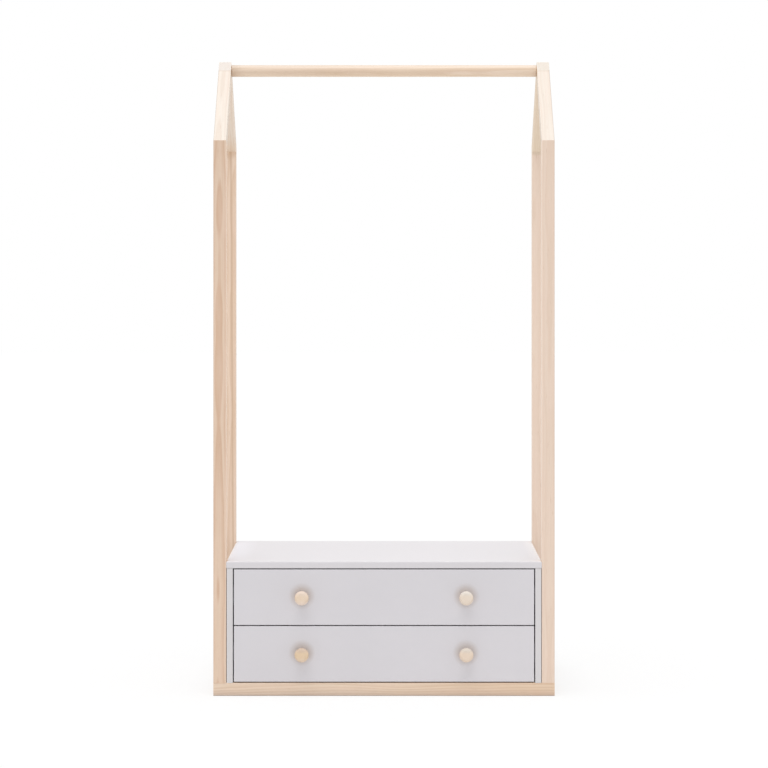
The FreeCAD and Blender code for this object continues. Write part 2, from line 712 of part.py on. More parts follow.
def make_cabinet_side():
    """A side of the cabinet, screwed to two posts with a little room, and its runners' holes."""
    body = new_body("cabinet_left_side")
    extrude(body, "side", "x", "-1 * side_outside", "carcass_board",
            rectangle("front", "base_rail_height", "back", "under_top"))
    soften(body, "side_edges", "board_round",
           lambda edge: runs_along(UNIT["z"])(edge) or lies_at("z", number("under_top"))(edge))
    face = "-1 * side_inside"
    recess(body, "side_groove", "x", face, -1, "groove_depth",
           rectangle("groove_front", "base_rail_height - overrun", "groove_back", "under_top + overrun"))
    drill(body, "side_cam_holes", "x", face, -1,
          [(y, "under_top - cam_distance") for y in CAM_ROWS], "cam_hole", "cam_depth")
    drill(body, "side_cam_bolt_holes", "z", "under_top", -1,
          [("side_x", y) for y in CAM_ROWS], "cam_bolt_hole", "cam_distance")
    drill(body, "side_top_dowel_holes", "z", "under_top", -1,
          [("side_x", y) for y in DOWEL_ROWS], "dowel_hole", "end_grain_depth")
    drill(body, "side_bottom_thread_holes", "x", face, -1,
          [(y, "bottom_z") for y in CAM_ROWS], "cam_thread_hole", "cam_thread_depth")
    drill(body, "side_bottom_dowel_holes", "x", face, -1,
          [(y, "bottom_z") for y in DOWEL_ROWS], "dowel_hole", "sink_depth")
    screws = [(y, z) for y in ("screw_y", "back_screw_y") for z in ("low_screw_z", "high_screw_z")]
    mouth = "(screw_head + 2 * hole_room)"
    hole = "(screw_diameter + 2 * hole_room)"
    drill(body, "side_screw_holes", "x", face, -1, screws, hole, "carcass_board + overrun")
    countersink(body, "side_screw_cones", "x", face, -1, screws, mouth, hole)
    runners = [(f"front + runner_y + {y}", f"{level} + runner_level")
               for name, level in LEVELS for y in RUNNER_SCREWS]
    drill(body, "side_runner_holes", "x", face, -1, runners, "runner_hole", "runner_screw_depth")
    countersink(body, "side_runner_cones", "x", face, -1, runners, "wood_cone", "runner_hole")
    left = shown(body, "cabinet_left_side")
    shown(mirrored("cabinet_right_side", left), "cabinet_right_side")


def make_cabinet_top():
    """The top board, which lies on both sides and ends flush with the posts."""
    body = new_body("cabinet_top")
    extrude(body, "top", "z", "under_top", "board",
            rectangle("-1 * post_inside", "front", "post_inside", "back"))
    soften(body, "top_edges", "top_round", lies_at("z", number("cabinet_height")))
    soften(body, "top_lower_edges", "board_round", lies_at("z", number("under_top")))
    both = ("side_x", "-1 * side_x")
    drill(body, "top_thread_holes", "z", "under_top", 1,
          [(x, y) for x in both for y in CAM_ROWS], "cam_thread_hole", "cam_thread_depth")
    drill(body, "top_dowel_holes", "z", "under_top", 1,
          [(x, y) for x in both for y in DOWEL_ROWS], "dowel_hole", "sink_depth")
    recess(body, "top_groove", "z", "under_top", 1, "groove_depth",
           rectangle("-1 * groove_reach", "groove_front", "groove_reach", "groove_back"))
    shown(body, "cabinet_top")


def make_cabinet_bottom():
    """The bottom board, between the sides, set back behind the lower drawer's front."""
    body = new_body("cabinet_bottom")
    extrude(body, "bottom", "z", "base_rail_height", "carcass_board",
            rectangle("-1 * side_inside", "front + board + bottom_setback", "side_inside", "groove_front"))
    cams = [(x, y) for x in ("cam_distance - side_inside", "side_inside - cam_distance") for y in CAM_ROWS]
    drill(body, "bottom_cam_holes", "z", "base_rail_height", 1, cams, "cam_hole", "cam_depth")
    for name, at, toward in (("left", "-1 * side_inside", 1), ("right", "side_inside", -1)):
        drill(body, f"bottom_{name}_bolt_holes", "x", at, toward,
              [(y, "bottom_z") for y in CAM_ROWS], "cam_bolt_hole", "cam_distance")
        drill(body, f"bottom_{name}_dowel_holes", "x", at, toward,
              [(y, "bottom_z") for y in DOWEL_ROWS], "dowel_hole", "end_grain_depth")
    shown(body, "cabinet_bottom")


def make_cabinet_back():
    """The thin back panel, held in grooves and standing on the back base rail."""
    body = new_body("cabinet_back")
    extrude(body, "panel", "y", "panel_front", "back_thickness",
            rectangle("groove_room - groove_reach", "base_rail_height",
                      "groove_reach - groove_room", "under_top + groove_depth - groove_room"))
    shown(body, "cabinet_back")


def make_cabinet_dowels():
    pattern = dowel("cabinet_dowel", "dowel_diameter", "dowel_length")
    spots = []
    for y in DOWEL_ROWS:
        spots.append((("side_x", y, "under_top + dowel_sink - dowel_length / 2"), UP))
        spots.append((("dowel_length / 2 - dowel_sink - side_inside", y, "bottom_z"), TO_RIGHT))
    group("cabinet_dowels", pattern, spots)


def make_cam_bolts():
    """Bolts screwed into one board, whose head the cam in the other board draws in."""
    body = new_body("cam_bolt")
    turned(body, "cam_bolt_turning", [
        ("0", "-1 * cam_bolt_sink"),
        ("cam_bolt_thread / 2", "-1 * cam_bolt_sink"),
        ("cam_bolt_thread / 2", "0"),
        ("cam_bolt_stem / 2", "0"),
        ("cam_bolt_stem / 2", "cam_distance - cam_bolt_head_length - cam_bolt_neck_length"),
        ("cam_bolt_neck / 2", "cam_distance - cam_bolt_head_length - cam_bolt_neck_length"),
        ("cam_bolt_neck / 2", "cam_distance - cam_bolt_head_length"),
        ("cam_bolt_stem / 2", "cam_distance - cam_bolt_head_length"),
        ("cam_bolt_stem / 2", "cam_distance - cam_bolt_head_length / 4"),
        ("cam_bolt_stem / 3", "cam_distance"),
        ("0", "cam_distance"),
    ])
    spots = []
    for y in CAM_ROWS:
        spots.append((("side_x", y, "under_top"), ("x", "180")))
        spots.append((("-1 * side_inside", y, "bottom_z"), TO_RIGHT))
    group("cabinet_cam_bolts", body, spots)


def make_cam_locks():
    """Round cams with a cross slot, open on the side where the bolt comes in."""
    body = new_body("cam_lock")
    turned(body, "cam_turning", rectangle("0", "0", "cam_diameter / 2", "cam_height"))
    past_edge = "cam_diameter"
    recess(body, "cam_neck_slot", "z", "cam_height", -1,
           "cam_height - carcass_board / 2 + cam_bolt_neck / 2 + hole_room",
           rectangle("0", "-1 * cam_bolt_neck / 2 - hole_room", past_edge, "cam_bolt_neck / 2 + hole_room"))
    recess(body, "cam_head_slot", "z", "cam_height", -1,
           "cam_height - carcass_board / 2 + cam_bolt_stem / 2 + hole_room",
           rectangle("-1 * hole_end_room", "-1 * cam_bolt_stem / 2 - hole_room",
                     "cam_bolt_head_length + hole_room", "cam_bolt_stem / 2 + hole_room"))
    for name, across, along in (("first", "cam_slot_width / 2", "cam_diameter / 3"),
                                ("second", "cam_diameter / 3", "cam_slot_width / 2")):
        recess(body, f"cam_{name}_key_slot", "z", "0", 1, "cam_slot_depth",
               rectangle(f"-1 * {across}", f"-1 * {along}", across, along))
    spots = []
    for y in CAM_ROWS:
        spots.append((("-1 * side_inside", y, "under_top - cam_distance"), TO_LEFT))
        spots.append((("cam_distance - side_inside", y, "base_rail_height"), HALF_ROUND))
    group("cabinet_cam_locks", body, spots)


def countersunk_screw(name, head, diameter, length, tip):
    """A wood screw along z, with a cross recess in its head, whose top is at the origin."""
    body = new_body(name)
    turned(body, name + "_turning", [
        ("0", "0"),
        (f"{head} / 2", "0"),
        (f"{diameter} / 2", f"({head} - {diameter}) / 2"),
        (f"{diameter} / 2", f"{length} - {tip}"),
        ("0", length),
    ])
    reach = f"{head} * recess_reach_share"
    half = f"{head} * recess_width_share / 2"
    for arm, across, along in (("first", reach, half), ("second", half, reach)):
        recess(body, f"{name}_{arm}_slot", "z", "0", 1, f"{head} * recess_depth_share",
               rectangle(f"-1 * {across}", f"-1 * {along}", across, along))
    return body


def make_cabinet_screws():
    pattern = countersunk_screw("cabinet_screw", "screw_head", "screw_diameter", "screw_length", "screw_tip")
    group("cabinet_screws", pattern, [
        (("-1 * side_inside", y, z), TO_LEFT)
        for y in ("screw_y", "back_screw_y") for z in ("low_screw_z", "high_screw_z")
    ])


# Telescopic runners: in section, a channel on the cabinet, a channel that travels inside it and
# a channel on the drawer inside that, with a cage of balls in each pair of races

def at_runner(thing, level):
    place(thing, ("-1 * side_inside", "front + runner_y", f"{level} + runner_level"))


def channel(body, name, start, length, web, tip, half, wall, lip_out, lip):
    """A channel open towards the drawer, with lips at the tips of its flanges."""
    inside = f"({half} - {wall})"
    extrude(body, name, "y", start, length, [
        (web, f"-1 * {half}"),
        (tip, f"-1 * {half}"),
        (tip, f"{lip} - {inside}"),
        (f"{tip} - {lip_out}", f"{lip} - {inside}"),
        (f"{tip} - {lip_out}", f"-1 * {inside}"),
        (f"{web} + {lip_out}", f"-1 * {inside}"),
        (f"{web} + {lip_out}", inside),
        (f"{tip} - {lip_out}", inside),
        (f"{tip} - {lip_out}", f"{inside} - {lip}"),
        (tip, f"{inside} - {lip}"),
        (tip, half),
        (web, half),
    ])


def make_cabinet_member(name, level):
    body = new_body(f"{name}_left_cabinet_runner")
    channel(body, f"{name}_cabinet_channel", "0", "runner_length", "0", "outer_tip", "outer_half",
            "steel", "steel", "lip")
    holes = [(y, "0") for y in RUNNER_SCREWS]
    drill(body, f"{name}_cabinet_channel_holes", "x", "steel", -1, holes, "runner_hole", "steel + overrun")
    countersink(body, f"{name}_cabinet_channel_cones", "x", "steel", -1, holes, "runner_cone", "runner_hole")
    at_runner(body, level)
    left = shown(body, f"{name}_left_cabinet_runner")
    shown(mirrored(f"{name}_right_cabinet_runner", left), f"{name}_right_cabinet_runner")


def make_middle_members(name, level):
    """The travelling channels of one drawer, with holes that a screwdriver reaches through."""
    body = new_body(f"{name}_left_middle_runner")
    channel(body, f"{name}_middle_channel", "0", "runner_length", "middle_web", "middle_tip", "middle_half",
            "steel", "steel", "steel")
    drill(body, f"{name}_middle_access", "x", "middle_web", 1, [(y, "0") for y in RUNNER_SCREWS],
          "access_hole", "steel + overrun")
    at_runner(body, level)
    right = mirrored(f"{name}_right_middle_runner", body)
    shown(compound(f"{name}_middle_runners", [body, right]), f"{name}_middle_runners")


def make_drawer_member(name, level):
    """The channel on the drawer, which opens towards the cabinet."""
    body = new_body(f"{name}_left_drawer_runner")
    web = "(runner_thickness - steel)"
    flange = "(inner_half - steel)"
    extrude(body, f"{name}_drawer_channel", "y", "0", "runner_length", [
        ("runner_thickness", "-1 * inner_half"),
        ("runner_thickness", "inner_half"),
        ("inner_flange", "inner_half"),
        ("inner_flange", flange),
        (web, flange),
        (web, f"-1 * {flange}"),
        ("inner_flange", f"-1 * {flange}"),
        ("inner_flange", "-1 * inner_half"),
    ])
    holes = [(y, "0") for y in RUNNER_SCREWS]
    drill(body, f"{name}_drawer_channel_holes", "x", web, 1, holes, "runner_hole", "steel + overrun")
    countersink(body, f"{name}_drawer_channel_cones", "x", web, 1, holes, "runner_cone", "runner_hole")
    at_runner(body, level)
    left = shown(body, f"{name}_left_drawer_runner")
    shown(mirrored(f"{name}_right_drawer_runner", left), f"{name}_right_drawer_runner")


def make_cages(name, level, kind, web, tip, half, inside):
    """The strips that hold the rows of balls between two members of a drawer's runners."""
    body = new_body(f"{name}_left_{kind}_cage")
    back = f"({web} + cage_room)"
    strip = f"({web} + cage_room + cage_sheet)"
    reach = f"({tip} - steel - cage_room)"
    high = f"({half} - cage_room)"
    low = f"({inside} + cage_room)"
    extrude(body, f"{name}_{kind}_cage_strip", "y", "cage_start", "cage_length", [
        (back, f"-1 * {high}"),
        (reach, f"-1 * {high}"),
        (reach, f"-1 * {low}"),
        (strip, f"-1 * {low}"),
        (strip, low),
        (reach, low),
        (reach, high),
        (back, high),
    ])
    at_runner(body, level)
    right = mirrored(f"{name}_right_{kind}_cage", body)
    shown(compound(f"{name}_{kind}_cages", [body, right]), f"{name}_{kind}_cages")


def runner_screw(name):
    return countersunk_screw(name, "runner_screw_head", "runner_screw_diameter",
                             "runner_screw_length", "runner_screw_tip")


def make_cabinet_runner_screws():
    group("cabinet_runner_screws", runner_screw("cabinet_runner_screw"), [
        (("steel - side_inside", f"front + runner_y + {y}", f"{level} + runner_level"), TO_LEFT)
        for name, level in LEVELS for y in RUNNER_SCREWS
    ])


def make_drawer_runner_screws(name, level):
    group(f"{name}_drawer_runner_screws", runner_screw(f"{name}_drawer_runner_screw"), [
        (("-1 * box_outside - steel", f"front + runner_y + {y}", f"{level} + runner_level"), TO_RIGHT)
        for y in RUNNER_SCREWS
    ])


# Drawers

CORNER_DOWELS = ("low_dowel_z", "high_dowel_z")


def at_drawer(body, level, x="0", z="0", turn=UP):
    place(body, (x, "front", f"{level} + {z}"), turn)


def make_drawer_front(name, level):
    body = new_body(f"{name}_drawer_front")
    extrude(body, f"{name}_front", "y", "0", "board",
            rectangle("-1 * front_half", "0", "front_half", "front_height"))
    soften(body, f"{name}_front_edges", "front_round", lies_at("y", 0))
    recess(body, f"{name}_front_groove", "y", "board", -1, "drawer_groove",
           rectangle("-1 * box_groove", "bottom_low - groove_room", "box_groove", "bottom_high + groove_room"))
    corners = [(x, z) for x in ("drawer_side_x", "-1 * drawer_side_x") for z in CORNER_DOWELS]
    drill(body, f"{name}_front_dowel_holes", "y", "board", -1, corners, "drawer_dowel_hole", "drawer_sink_depth")
    knobs = [("knob_x", "knob_z"), ("-1 * knob_x", "knob_z")]
    drill(body, f"{name}_front_knob_holes", "y", "0", 1, knobs, "knob_screw_hole", "board + overrun")
    at_drawer(body, level)
    shown(body, f"{name}_drawer_front")


def make_drawer_side(name, level):
    body = new_body(f"{name}_drawer_left_side")
    extrude(body, f"{name}_side", "x", "-1 * box_outside", "drawer_board",
            rectangle("board", "box_low", "box_end", "box_high"))
    soften(body, f"{name}_side_edges", "drawer_board_round",
           lambda edge: lies_at("z", number("box_high"))(edge) and runs_along(UNIT["y"])(edge))
    recess(body, f"{name}_side_groove", "x", "-1 * box_inside", -1, "drawer_groove",
           rectangle("board - overrun", "bottom_low - groove_room",
                     "box_end + overrun", "bottom_high + groove_room"))
    drill(body, f"{name}_side_front_holes", "y", "board", 1,
          [("drawer_side_x", z) for z in CORNER_DOWELS], "drawer_dowel_hole", "drawer_end_depth")
    drill(body, f"{name}_side_back_holes", "x", "-1 * box_inside", -1,
          [("drawer_back_y", z) for z in CORNER_DOWELS], "drawer_dowel_hole", "drawer_sink_depth")
    runners = [(f"runner_y + {y}", "runner_level") for y in RUNNER_SCREWS]
    drill(body, f"{name}_side_screw_holes", "x", "-1 * box_outside", 1, runners,
          "runner_hole", "runner_screw_depth")
    countersink(body, f"{name}_side_cones", "x", "-1 * box_outside", 1, runners, "wood_cone", "runner_hole")
    at_drawer(body, level)
    left = shown(body, f"{name}_drawer_left_side")
    shown(mirrored(f"{name}_drawer_right_side", left), f"{name}_drawer_right_side")


def make_drawer_back(name, level):
    """The back, between the sides; the bottom runs on under it."""
    body = new_body(f"{name}_drawer_back")
    extrude(body, f"{name}_back", "y", "box_end - drawer_board", "drawer_board",
            rectangle("-1 * box_inside", "bottom_high + groove_room", "box_inside", "box_high"))
    soften(body, f"{name}_back_edges", "drawer_board_round",
           lambda edge: lies_at("z", number("box_high"))(edge) and runs_along(UNIT["x"])(edge))
    for side, at, toward in (("left", "-1 * box_inside", 1), ("right", "box_inside", -1)):
        drill(body, f"{name}_back_{side}_holes", "x", at, toward,
              [("drawer_back_y", z) for z in CORNER_DOWELS], "drawer_dowel_hole", "drawer_end_depth")
    at_drawer(body, level)
    shown(body, f"{name}_drawer_back")


def make_drawer_bottom(name, level):
    body = new_body(f"{name}_drawer_bottom")
    extrude(body, f"{name}_bottom", "z", "bottom_low", "drawer_bottom",
            rectangle("groove_room - box_groove", "board - drawer_groove + groove_room",
                      "box_groove - groove_room", "box_end"))
    at_drawer(body, level)
    shown(body, f"{name}_drawer_bottom")


def make_drawer_dowels(name, level):
    pattern = dowel(f"{name}_drawer_dowel", "drawer_dowel_diameter", "drawer_dowel_length")
    spots = []
    for z in CORNER_DOWELS:
        spots.append((("drawer_side_x", "front + board - drawer_dowel_sink + drawer_dowel_length / 2",
                       f"{level} + {z}"), ("x", "90")))
        spots.append((("drawer_dowel_length / 2 - drawer_dowel_sink - box_inside",
                       "front + drawer_back_y", f"{level} + {z}"), TO_RIGHT))
    group(f"{name}_drawer_dowels", pattern, spots)


def make_knobs(name, level):
    """Turned knobs: a foot on the drawer front, a narrow neck and a broad rounded head."""
    body = new_body(f"{name}_left_knob")
    turned(body, f"{name}_knob_turning", [
        ("0", "0"),
        ("knob_foot / 2", "0"),
        ("knob_neck / 2", "knob_foot_height"),
        ("knob_neck / 2", "knob_projection - knob_head"),
        ("knob_diameter / 2", "knob_projection - knob_head"),
        ("knob_diameter / 2", "knob_projection"),
        ("0", "knob_projection"),
    ])
    soften(body, f"{name}_knob_face", "knob_face_round", lies_at("z", SIZES["knob_projection"]))
    soften(body, f"{name}_knob_back", "knob_back_round",
           lambda edge: lies_at("z", SIZES["knob_projection"] - SIZES["knob_head"])(edge)
           and edge.BoundBox.XLength > SIZES["knob_neck"] + NO_CHANGE)
    drill(body, f"{name}_knob_hole", "z", "0", 1, [("0", "0")], "knob_screw_hole",
          "knob_screw_reach + hole_end_room")
    at_drawer(body, level, "knob_x", "knob_z", ("x", "90"))
    left = shown(body, f"{name}_left_knob")
    shown(mirrored(f"{name}_right_knob", left), f"{name}_right_knob")


def make_knob_screws(name, level):
    """Machine screws from inside the drawer, through its front, into the knobs."""
    body = new_body(f"{name}_knob_screw")
    turned(body, f"{name}_knob_screw_turning", [
        ("0", "-1 * knob_screw_head_height"),
        ("knob_screw_head / 3", "-1 * knob_screw_head_height"),
        ("knob_screw_head / 2", "knob_screw_head_height / -2"),
        ("knob_screw_head / 2", "0"),
        ("knob_screw_diameter / 2", "0"),
        ("knob_screw_diameter / 2", "knob_screw_length"),
        ("0", "knob_screw_length"),
    ])
    recess(body, f"{name}_knob_screw_slot", "z", "-1 * knob_screw_head_height", 1, "knob_screw_slot_depth",
           rectangle("-1 * knob_screw_slot_width / 2", "-1 * knob_screw_head",
                     "knob_screw_slot_width / 2", "knob_screw_head"))
    group(f"{name}_knob_screws", body, [
        (("knob_x", "front + board", f"{level} + knob_z"), ("x", "90")),
    ])


# The whole wardrobe

make_post()
make_front_rafter()
make_back_rafter()
make_cross_base_rail()
make_side_base_rail()
make_hanging_rail()
make_frame_dowels()
make_frame_bolts()
make_barrel_nuts()
make_cabinet_side()
make_cabinet_top()
make_cabinet_bottom()
make_cabinet_back()
make_cabinet_dowels()
make_cam_bolts()
make_cam_locks()
make_cabinet_screws()
make_cabinet_runner_screws()
for drawer, drawer_level in LEVELS:
    make_cabinet_member(drawer, drawer_level)
    make_middle_members(drawer, drawer_level)
    make_cages(drawer, drawer_level, "outer", "steel", "outer_tip", "outer_race", "middle_half")
    make_cages(drawer, drawer_level, "inner", "middle_web + steel", "middle_tip", "middle_race", "inner_half")
    make_drawer_member(drawer, drawer_level)
    make_drawer_front(drawer, drawer_level)
    make_drawer_side(drawer, drawer_level)
    make_drawer_back(drawer, drawer_level)
    make_drawer_bottom(drawer, drawer_level)
    make_drawer_dowels(drawer, drawer_level)
    make_drawer_runner_screws(drawer, drawer_level)
    make_knobs(drawer, drawer_level)
    make_knob_screws(drawer, drawer_level)
doc.recompute()

for thing in doc.Objects:
    if "Invalid" in thing.State or "Error" in thing.State:
        raise RuntimeError(f"{thing.Name} failed: {thing.State}")
for node in nodes:
    if node.Shape.isNull() or not node.Shape.isValid():
        raise RuntimeError(f"{node.Label} has no valid shape")

os.makedirs("parts", exist_ok=True)
for node in nodes:
    node.Shape.exportStep(f"parts/{node.Label}.step")
print(f"{len(nodes)} nodes, {sum(len(node.Shape.Solids) for node in nodes)} solids")
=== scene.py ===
import bmesh
import bpy
import json
import math
from mathutils import Matrix, Vector


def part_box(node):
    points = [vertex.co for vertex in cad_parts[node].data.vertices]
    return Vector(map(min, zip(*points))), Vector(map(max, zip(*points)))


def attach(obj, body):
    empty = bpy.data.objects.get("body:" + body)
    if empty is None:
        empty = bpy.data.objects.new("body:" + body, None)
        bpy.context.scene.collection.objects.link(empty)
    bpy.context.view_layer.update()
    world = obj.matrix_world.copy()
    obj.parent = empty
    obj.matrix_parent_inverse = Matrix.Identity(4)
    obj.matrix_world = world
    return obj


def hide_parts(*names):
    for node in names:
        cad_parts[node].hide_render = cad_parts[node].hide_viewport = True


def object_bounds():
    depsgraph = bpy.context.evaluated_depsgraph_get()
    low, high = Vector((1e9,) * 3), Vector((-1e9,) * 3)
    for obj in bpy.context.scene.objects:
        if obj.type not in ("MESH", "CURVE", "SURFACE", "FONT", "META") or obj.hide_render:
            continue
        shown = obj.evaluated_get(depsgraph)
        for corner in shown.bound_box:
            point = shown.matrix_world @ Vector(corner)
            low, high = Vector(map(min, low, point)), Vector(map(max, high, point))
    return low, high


# Looks of a child's wardrobe shaped like a house: pale pine timber, a white lacquered cabinet with
# two drawers on telescopic runners, turned knobs and zinc-plated fittings. Metres, x to the right,
# y to the back, z up, as in the CAD model.
#
# Two kinds of constant recur. Those made with dict() are textures, as noise() takes them. Pairs and
# fours of numbers that end in _SHARE, _LEVEL, _REACH or _ROUGHNESS are ranges, as spread() takes
# them: the two ends of a value, and what it becomes there.

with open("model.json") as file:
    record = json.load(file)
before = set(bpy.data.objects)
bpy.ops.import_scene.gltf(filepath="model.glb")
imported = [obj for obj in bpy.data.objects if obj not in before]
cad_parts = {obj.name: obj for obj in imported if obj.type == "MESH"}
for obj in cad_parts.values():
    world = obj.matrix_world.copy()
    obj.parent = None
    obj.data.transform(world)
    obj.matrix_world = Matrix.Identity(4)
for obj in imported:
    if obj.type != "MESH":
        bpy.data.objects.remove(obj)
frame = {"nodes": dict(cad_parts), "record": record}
cad_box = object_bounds()
nodes = frame["nodes"]

MM = 0.001
QUARTER_TURN = math.radians(90)

# The drawers, by the start of their pieces' names
LEVELS = ("lower", "upper")

# Photograph: the camera stands level, far away and at chest height. Sensor and lens in millimetres.
CAMERA_DISTANCE = 6350 * MM
CAMERA_HEIGHT = 1186 * MM
SENSOR = 36
LENS = 112.9
SHIFT_DOWN = 0.1797

# Light, as a share of what a white surface sends back, and the lamp's angles in degrees. The
# floor is white to the light, and shows to the eye as the sum of a glow and a shaded grey.
DOME_LEVEL = 0.73
LAMP_LEVEL = 1.305
LAMP_SPREAD = 42
LAMP_TILT_FORWARD = 12
LAMP_TILT_SIDE = -4
WHITE = (1, 1, 1, 1)
FLOOR_SIZE = 40
FLOOR_WHITE = (0.85, 0.85, 0.85, 1)
FLOOR_SHOWN_LIT = 0.69
FLOOR_SHOWN_SHADED = (0.28, 0.28, 0.28, 1)

# Directions that timber is cut along
UP = Vector((0, 0, 1))
RIGHT = Vector((1, 0, 0))
BACK = Vector((0, 1, 0))
ROOF_UP_BACK = Vector((0, 1, 1)).normalized()
ROOF_UP_FRONT = Vector((0, -1, 1)).normalized()

# Where a face starts to count as turned along an axis and where it fully does, as the share of its
# normal that lies along it
FACING_SHARE = (0.85, 0.98)

# The middle of a noise's values
NOISE_MIDDLE = 0.5


def from_screen(red, green, blue):
    """A colour as shaders take it, from the three numbers that a screen shows (sRGB)."""
    def linear(value):
        share = value / 255
        return share / 12.92 if share <= 0.04045 else ((share + 0.055) / 1.055) ** 2.4
    return (linear(red), linear(green), linear(blue), 1)


def scaled(colour, factor):
    return tuple(factor * channel for channel in colour[:3]) + (1,)


def between(first, second, share):
    return tuple((1 - share) * one + share * other for one, other in zip(first, second))


class Finish:
    """A material built from nodes, with the sums and textures that the finishes share."""

    def __init__(self, name, gloss=0.5, metal=0):
        self.material = bpy.data.materials.new(name)
        self.material.use_nodes = True
        self.tree = self.material.node_tree
        self.shader = self.tree.nodes["Principled BSDF"]
        self.shader.inputs["Specular IOR Level"].default_value = gloss
        self.shader.inputs["Metallic"].default_value = metal
        sources = self.add("ShaderNodeTexCoord").outputs
        self.point = sources["Object"]
        self.normal = sources["Normal"]

    def add(self, kind, *values, **settings):
        node = self.tree.nodes.new(kind)
        for name, value in settings.items():
            setattr(node, name, value)
        for socket, value in zip(node.inputs, values):
            self.feed(socket, value)
        return node

    def feed(self, socket, value):
        if isinstance(value, bpy.types.NodeSocket):
            self.tree.links.new(value, socket)
        elif value is not None:
            socket.default_value = value

    def compute(self, operation, *values):
        return self.add("ShaderNodeMath", *values, operation=operation).outputs[0]

    def plus(self, first, second):
        return self.compute("ADD", first, second)

    def minus(self, first, second):
        return self.compute("SUBTRACT", first, second)

    def times(self, first, second):
        return self.compute("MULTIPLY", first, second)

    def vector(self, operation, *values):
        return self.add("ShaderNodeVectorMath", *values, operation=operation)

    def along(self, point, direction):
        return self.vector("DOT_PRODUCT", point, direction).outputs["Value"]

    def joined(self, *parts):
        return self.add("ShaderNodeCombineXYZ", *parts).outputs[0]

    def split(self, point):
        return self.add("ShaderNodeSeparateXYZ", point).outputs

    def noise(self, point, scale, detail, rough=0.5, stretch=None):
        if stretch:
            point = self.vector("MULTIPLY", point, stretch).outputs[0]
        node = self.add("ShaderNodeTexNoise")
        self.feed(node.inputs["Vector"], point)
        self.feed(node.inputs["Scale"], scale)
        self.feed(node.inputs["Detail"], detail)
        self.feed(node.inputs["Roughness"], rough)
        return node.outputs["Fac"]

    def spread(self, value, low, high, to_low=0, to_high=1):
        """The value, taken from one range to another and held within it."""
        return self.add("ShaderNodeMapRange", value, low, high, to_low, to_high).outputs[0]

    def ramp(self, value, stops):
        node = self.add("ShaderNodeValToRGB")
        marks = node.color_ramp.elements
        while len(marks) < len(stops):
            marks.new(1)
        for mark, (spot, colour) in zip(marks, stops):
            mark.position = spot
            mark.color = colour
        self.feed(node.inputs["Fac"], value)
        return node.outputs["Color"]

    def mix(self, share, first, second, blend="MIX"):
        node = self.add("ShaderNodeMix", data_type="RGBA", blend_type=blend)
        for name, value in (("Factor_Float", share), ("A_Color", first), ("B_Color", second)):
            self.feed(next(s for s in node.inputs if s.identifier == name), value)
        return next(s for s in node.outputs if s.identifier == "Result_Color")

    def tinted(self, tint, factor):
        """The tone times a colour, or times a number that varies over the surface."""
        if isinstance(factor, bpy.types.NodeSocket):
            factor = self.joined(factor, factor, factor)
        return self.mix(1, tint, factor, "MULTIPLY")

    def colour(self, value):
        self.feed(self.shader.inputs["Base Color"], value)

    def roughness(self, value):
        self.feed(self.shader.inputs["Roughness"], value)

    def bump(self, height, depth, share):
        node = self.add("ShaderNodeBump")
        self.feed(node.inputs["Strength"], share)
        self.feed(node.inputs["Distance"], depth)
        self.feed(node.inputs["Height"], height)
        self.feed(self.shader.inputs["Normal"], node.outputs["Normal"])


class Board:
    """A straight piece with its own axes: two across its grain, and one along it."""

    def __init__(self, node, grain):
        across = BACK if grain == RIGHT else RIGHT
        self.axes = (across, grain.cross(across), grain)
        corners = [vertex.co for vertex in node.data.vertices]
        lows = [min(corner.dot(axis) for corner in corners) for axis in self.axes]
        highs = [max(corner.dot(axis) for corner in corners) for axis in self.axes]
        self.middle = Vector([(low + high) / 2 for low, high in zip(lows, highs)])
        self.half = Vector([(high - low) / 2 for low, high in zip(lows, highs)])

    def local(self, finish):
        """The shaded point in the board's axes, from its middle."""
        parts = [finish.along(finish.point, axis) for axis in self.axes]
        return finish.vector("SUBTRACT", finish.joined(*parts), self.middle).outputs[0]

    def edge(self, finish, local, width):
        """1 at the board's arrises, fading to 0 at the given distance from them."""
        distance = finish.vector("ABSOLUTE", local).outputs[0]
        inward = finish.vector("SUBTRACT", self.half, distance).outputs[0]
        parts = finish.split(inward)
        least, most, total = (
            finish.compute(way, finish.compute(way, parts[0], parts[1]), parts[2])
            for way in ("MINIMUM", "MAXIMUM", "ADD")
        )
        return finish.spread(finish.minus(finish.minus(total, least), most), 0, width, 1, 0)


def dress(name, material):
    """Gives a CAD node its finish in every material slot that it has."""
    slots = nodes[name].data.materials
    for index in range(len(slots)):
        slots[index] = material


# Pine

PINE_GLOSS = 0.5
PINE_ROUGHNESS = (0.25, 0.75, 0.34, 0.46)
PINE_RELIEF = 0.12 * MM
PINE_RELIEF_SHARE = 0.5
FIBRE_HEIGHT = 0.6
RING_HEIGHT = 0.3

# Growth rings: how they wander along the board and vary in width, and the share of late wood from
# the start of one to its end
RING_WANDER = 14 * MM
RING_SWAY = dict(stretch=(7, 7, 2.6), scale=1, detail=2, rough=0.45)
RING_WIDTHS = dict(scale=75, detail=1)
RING_UNEVEN = 1.6
RING_PROFILE = [(0.0, 0.0), (0.35, 0.15), (0.72, 0.75), (0.88, 1.0), (1.0, 0.0)]
USUAL_RING = 4.5 * MM
USUAL_CONTRAST = 0.75

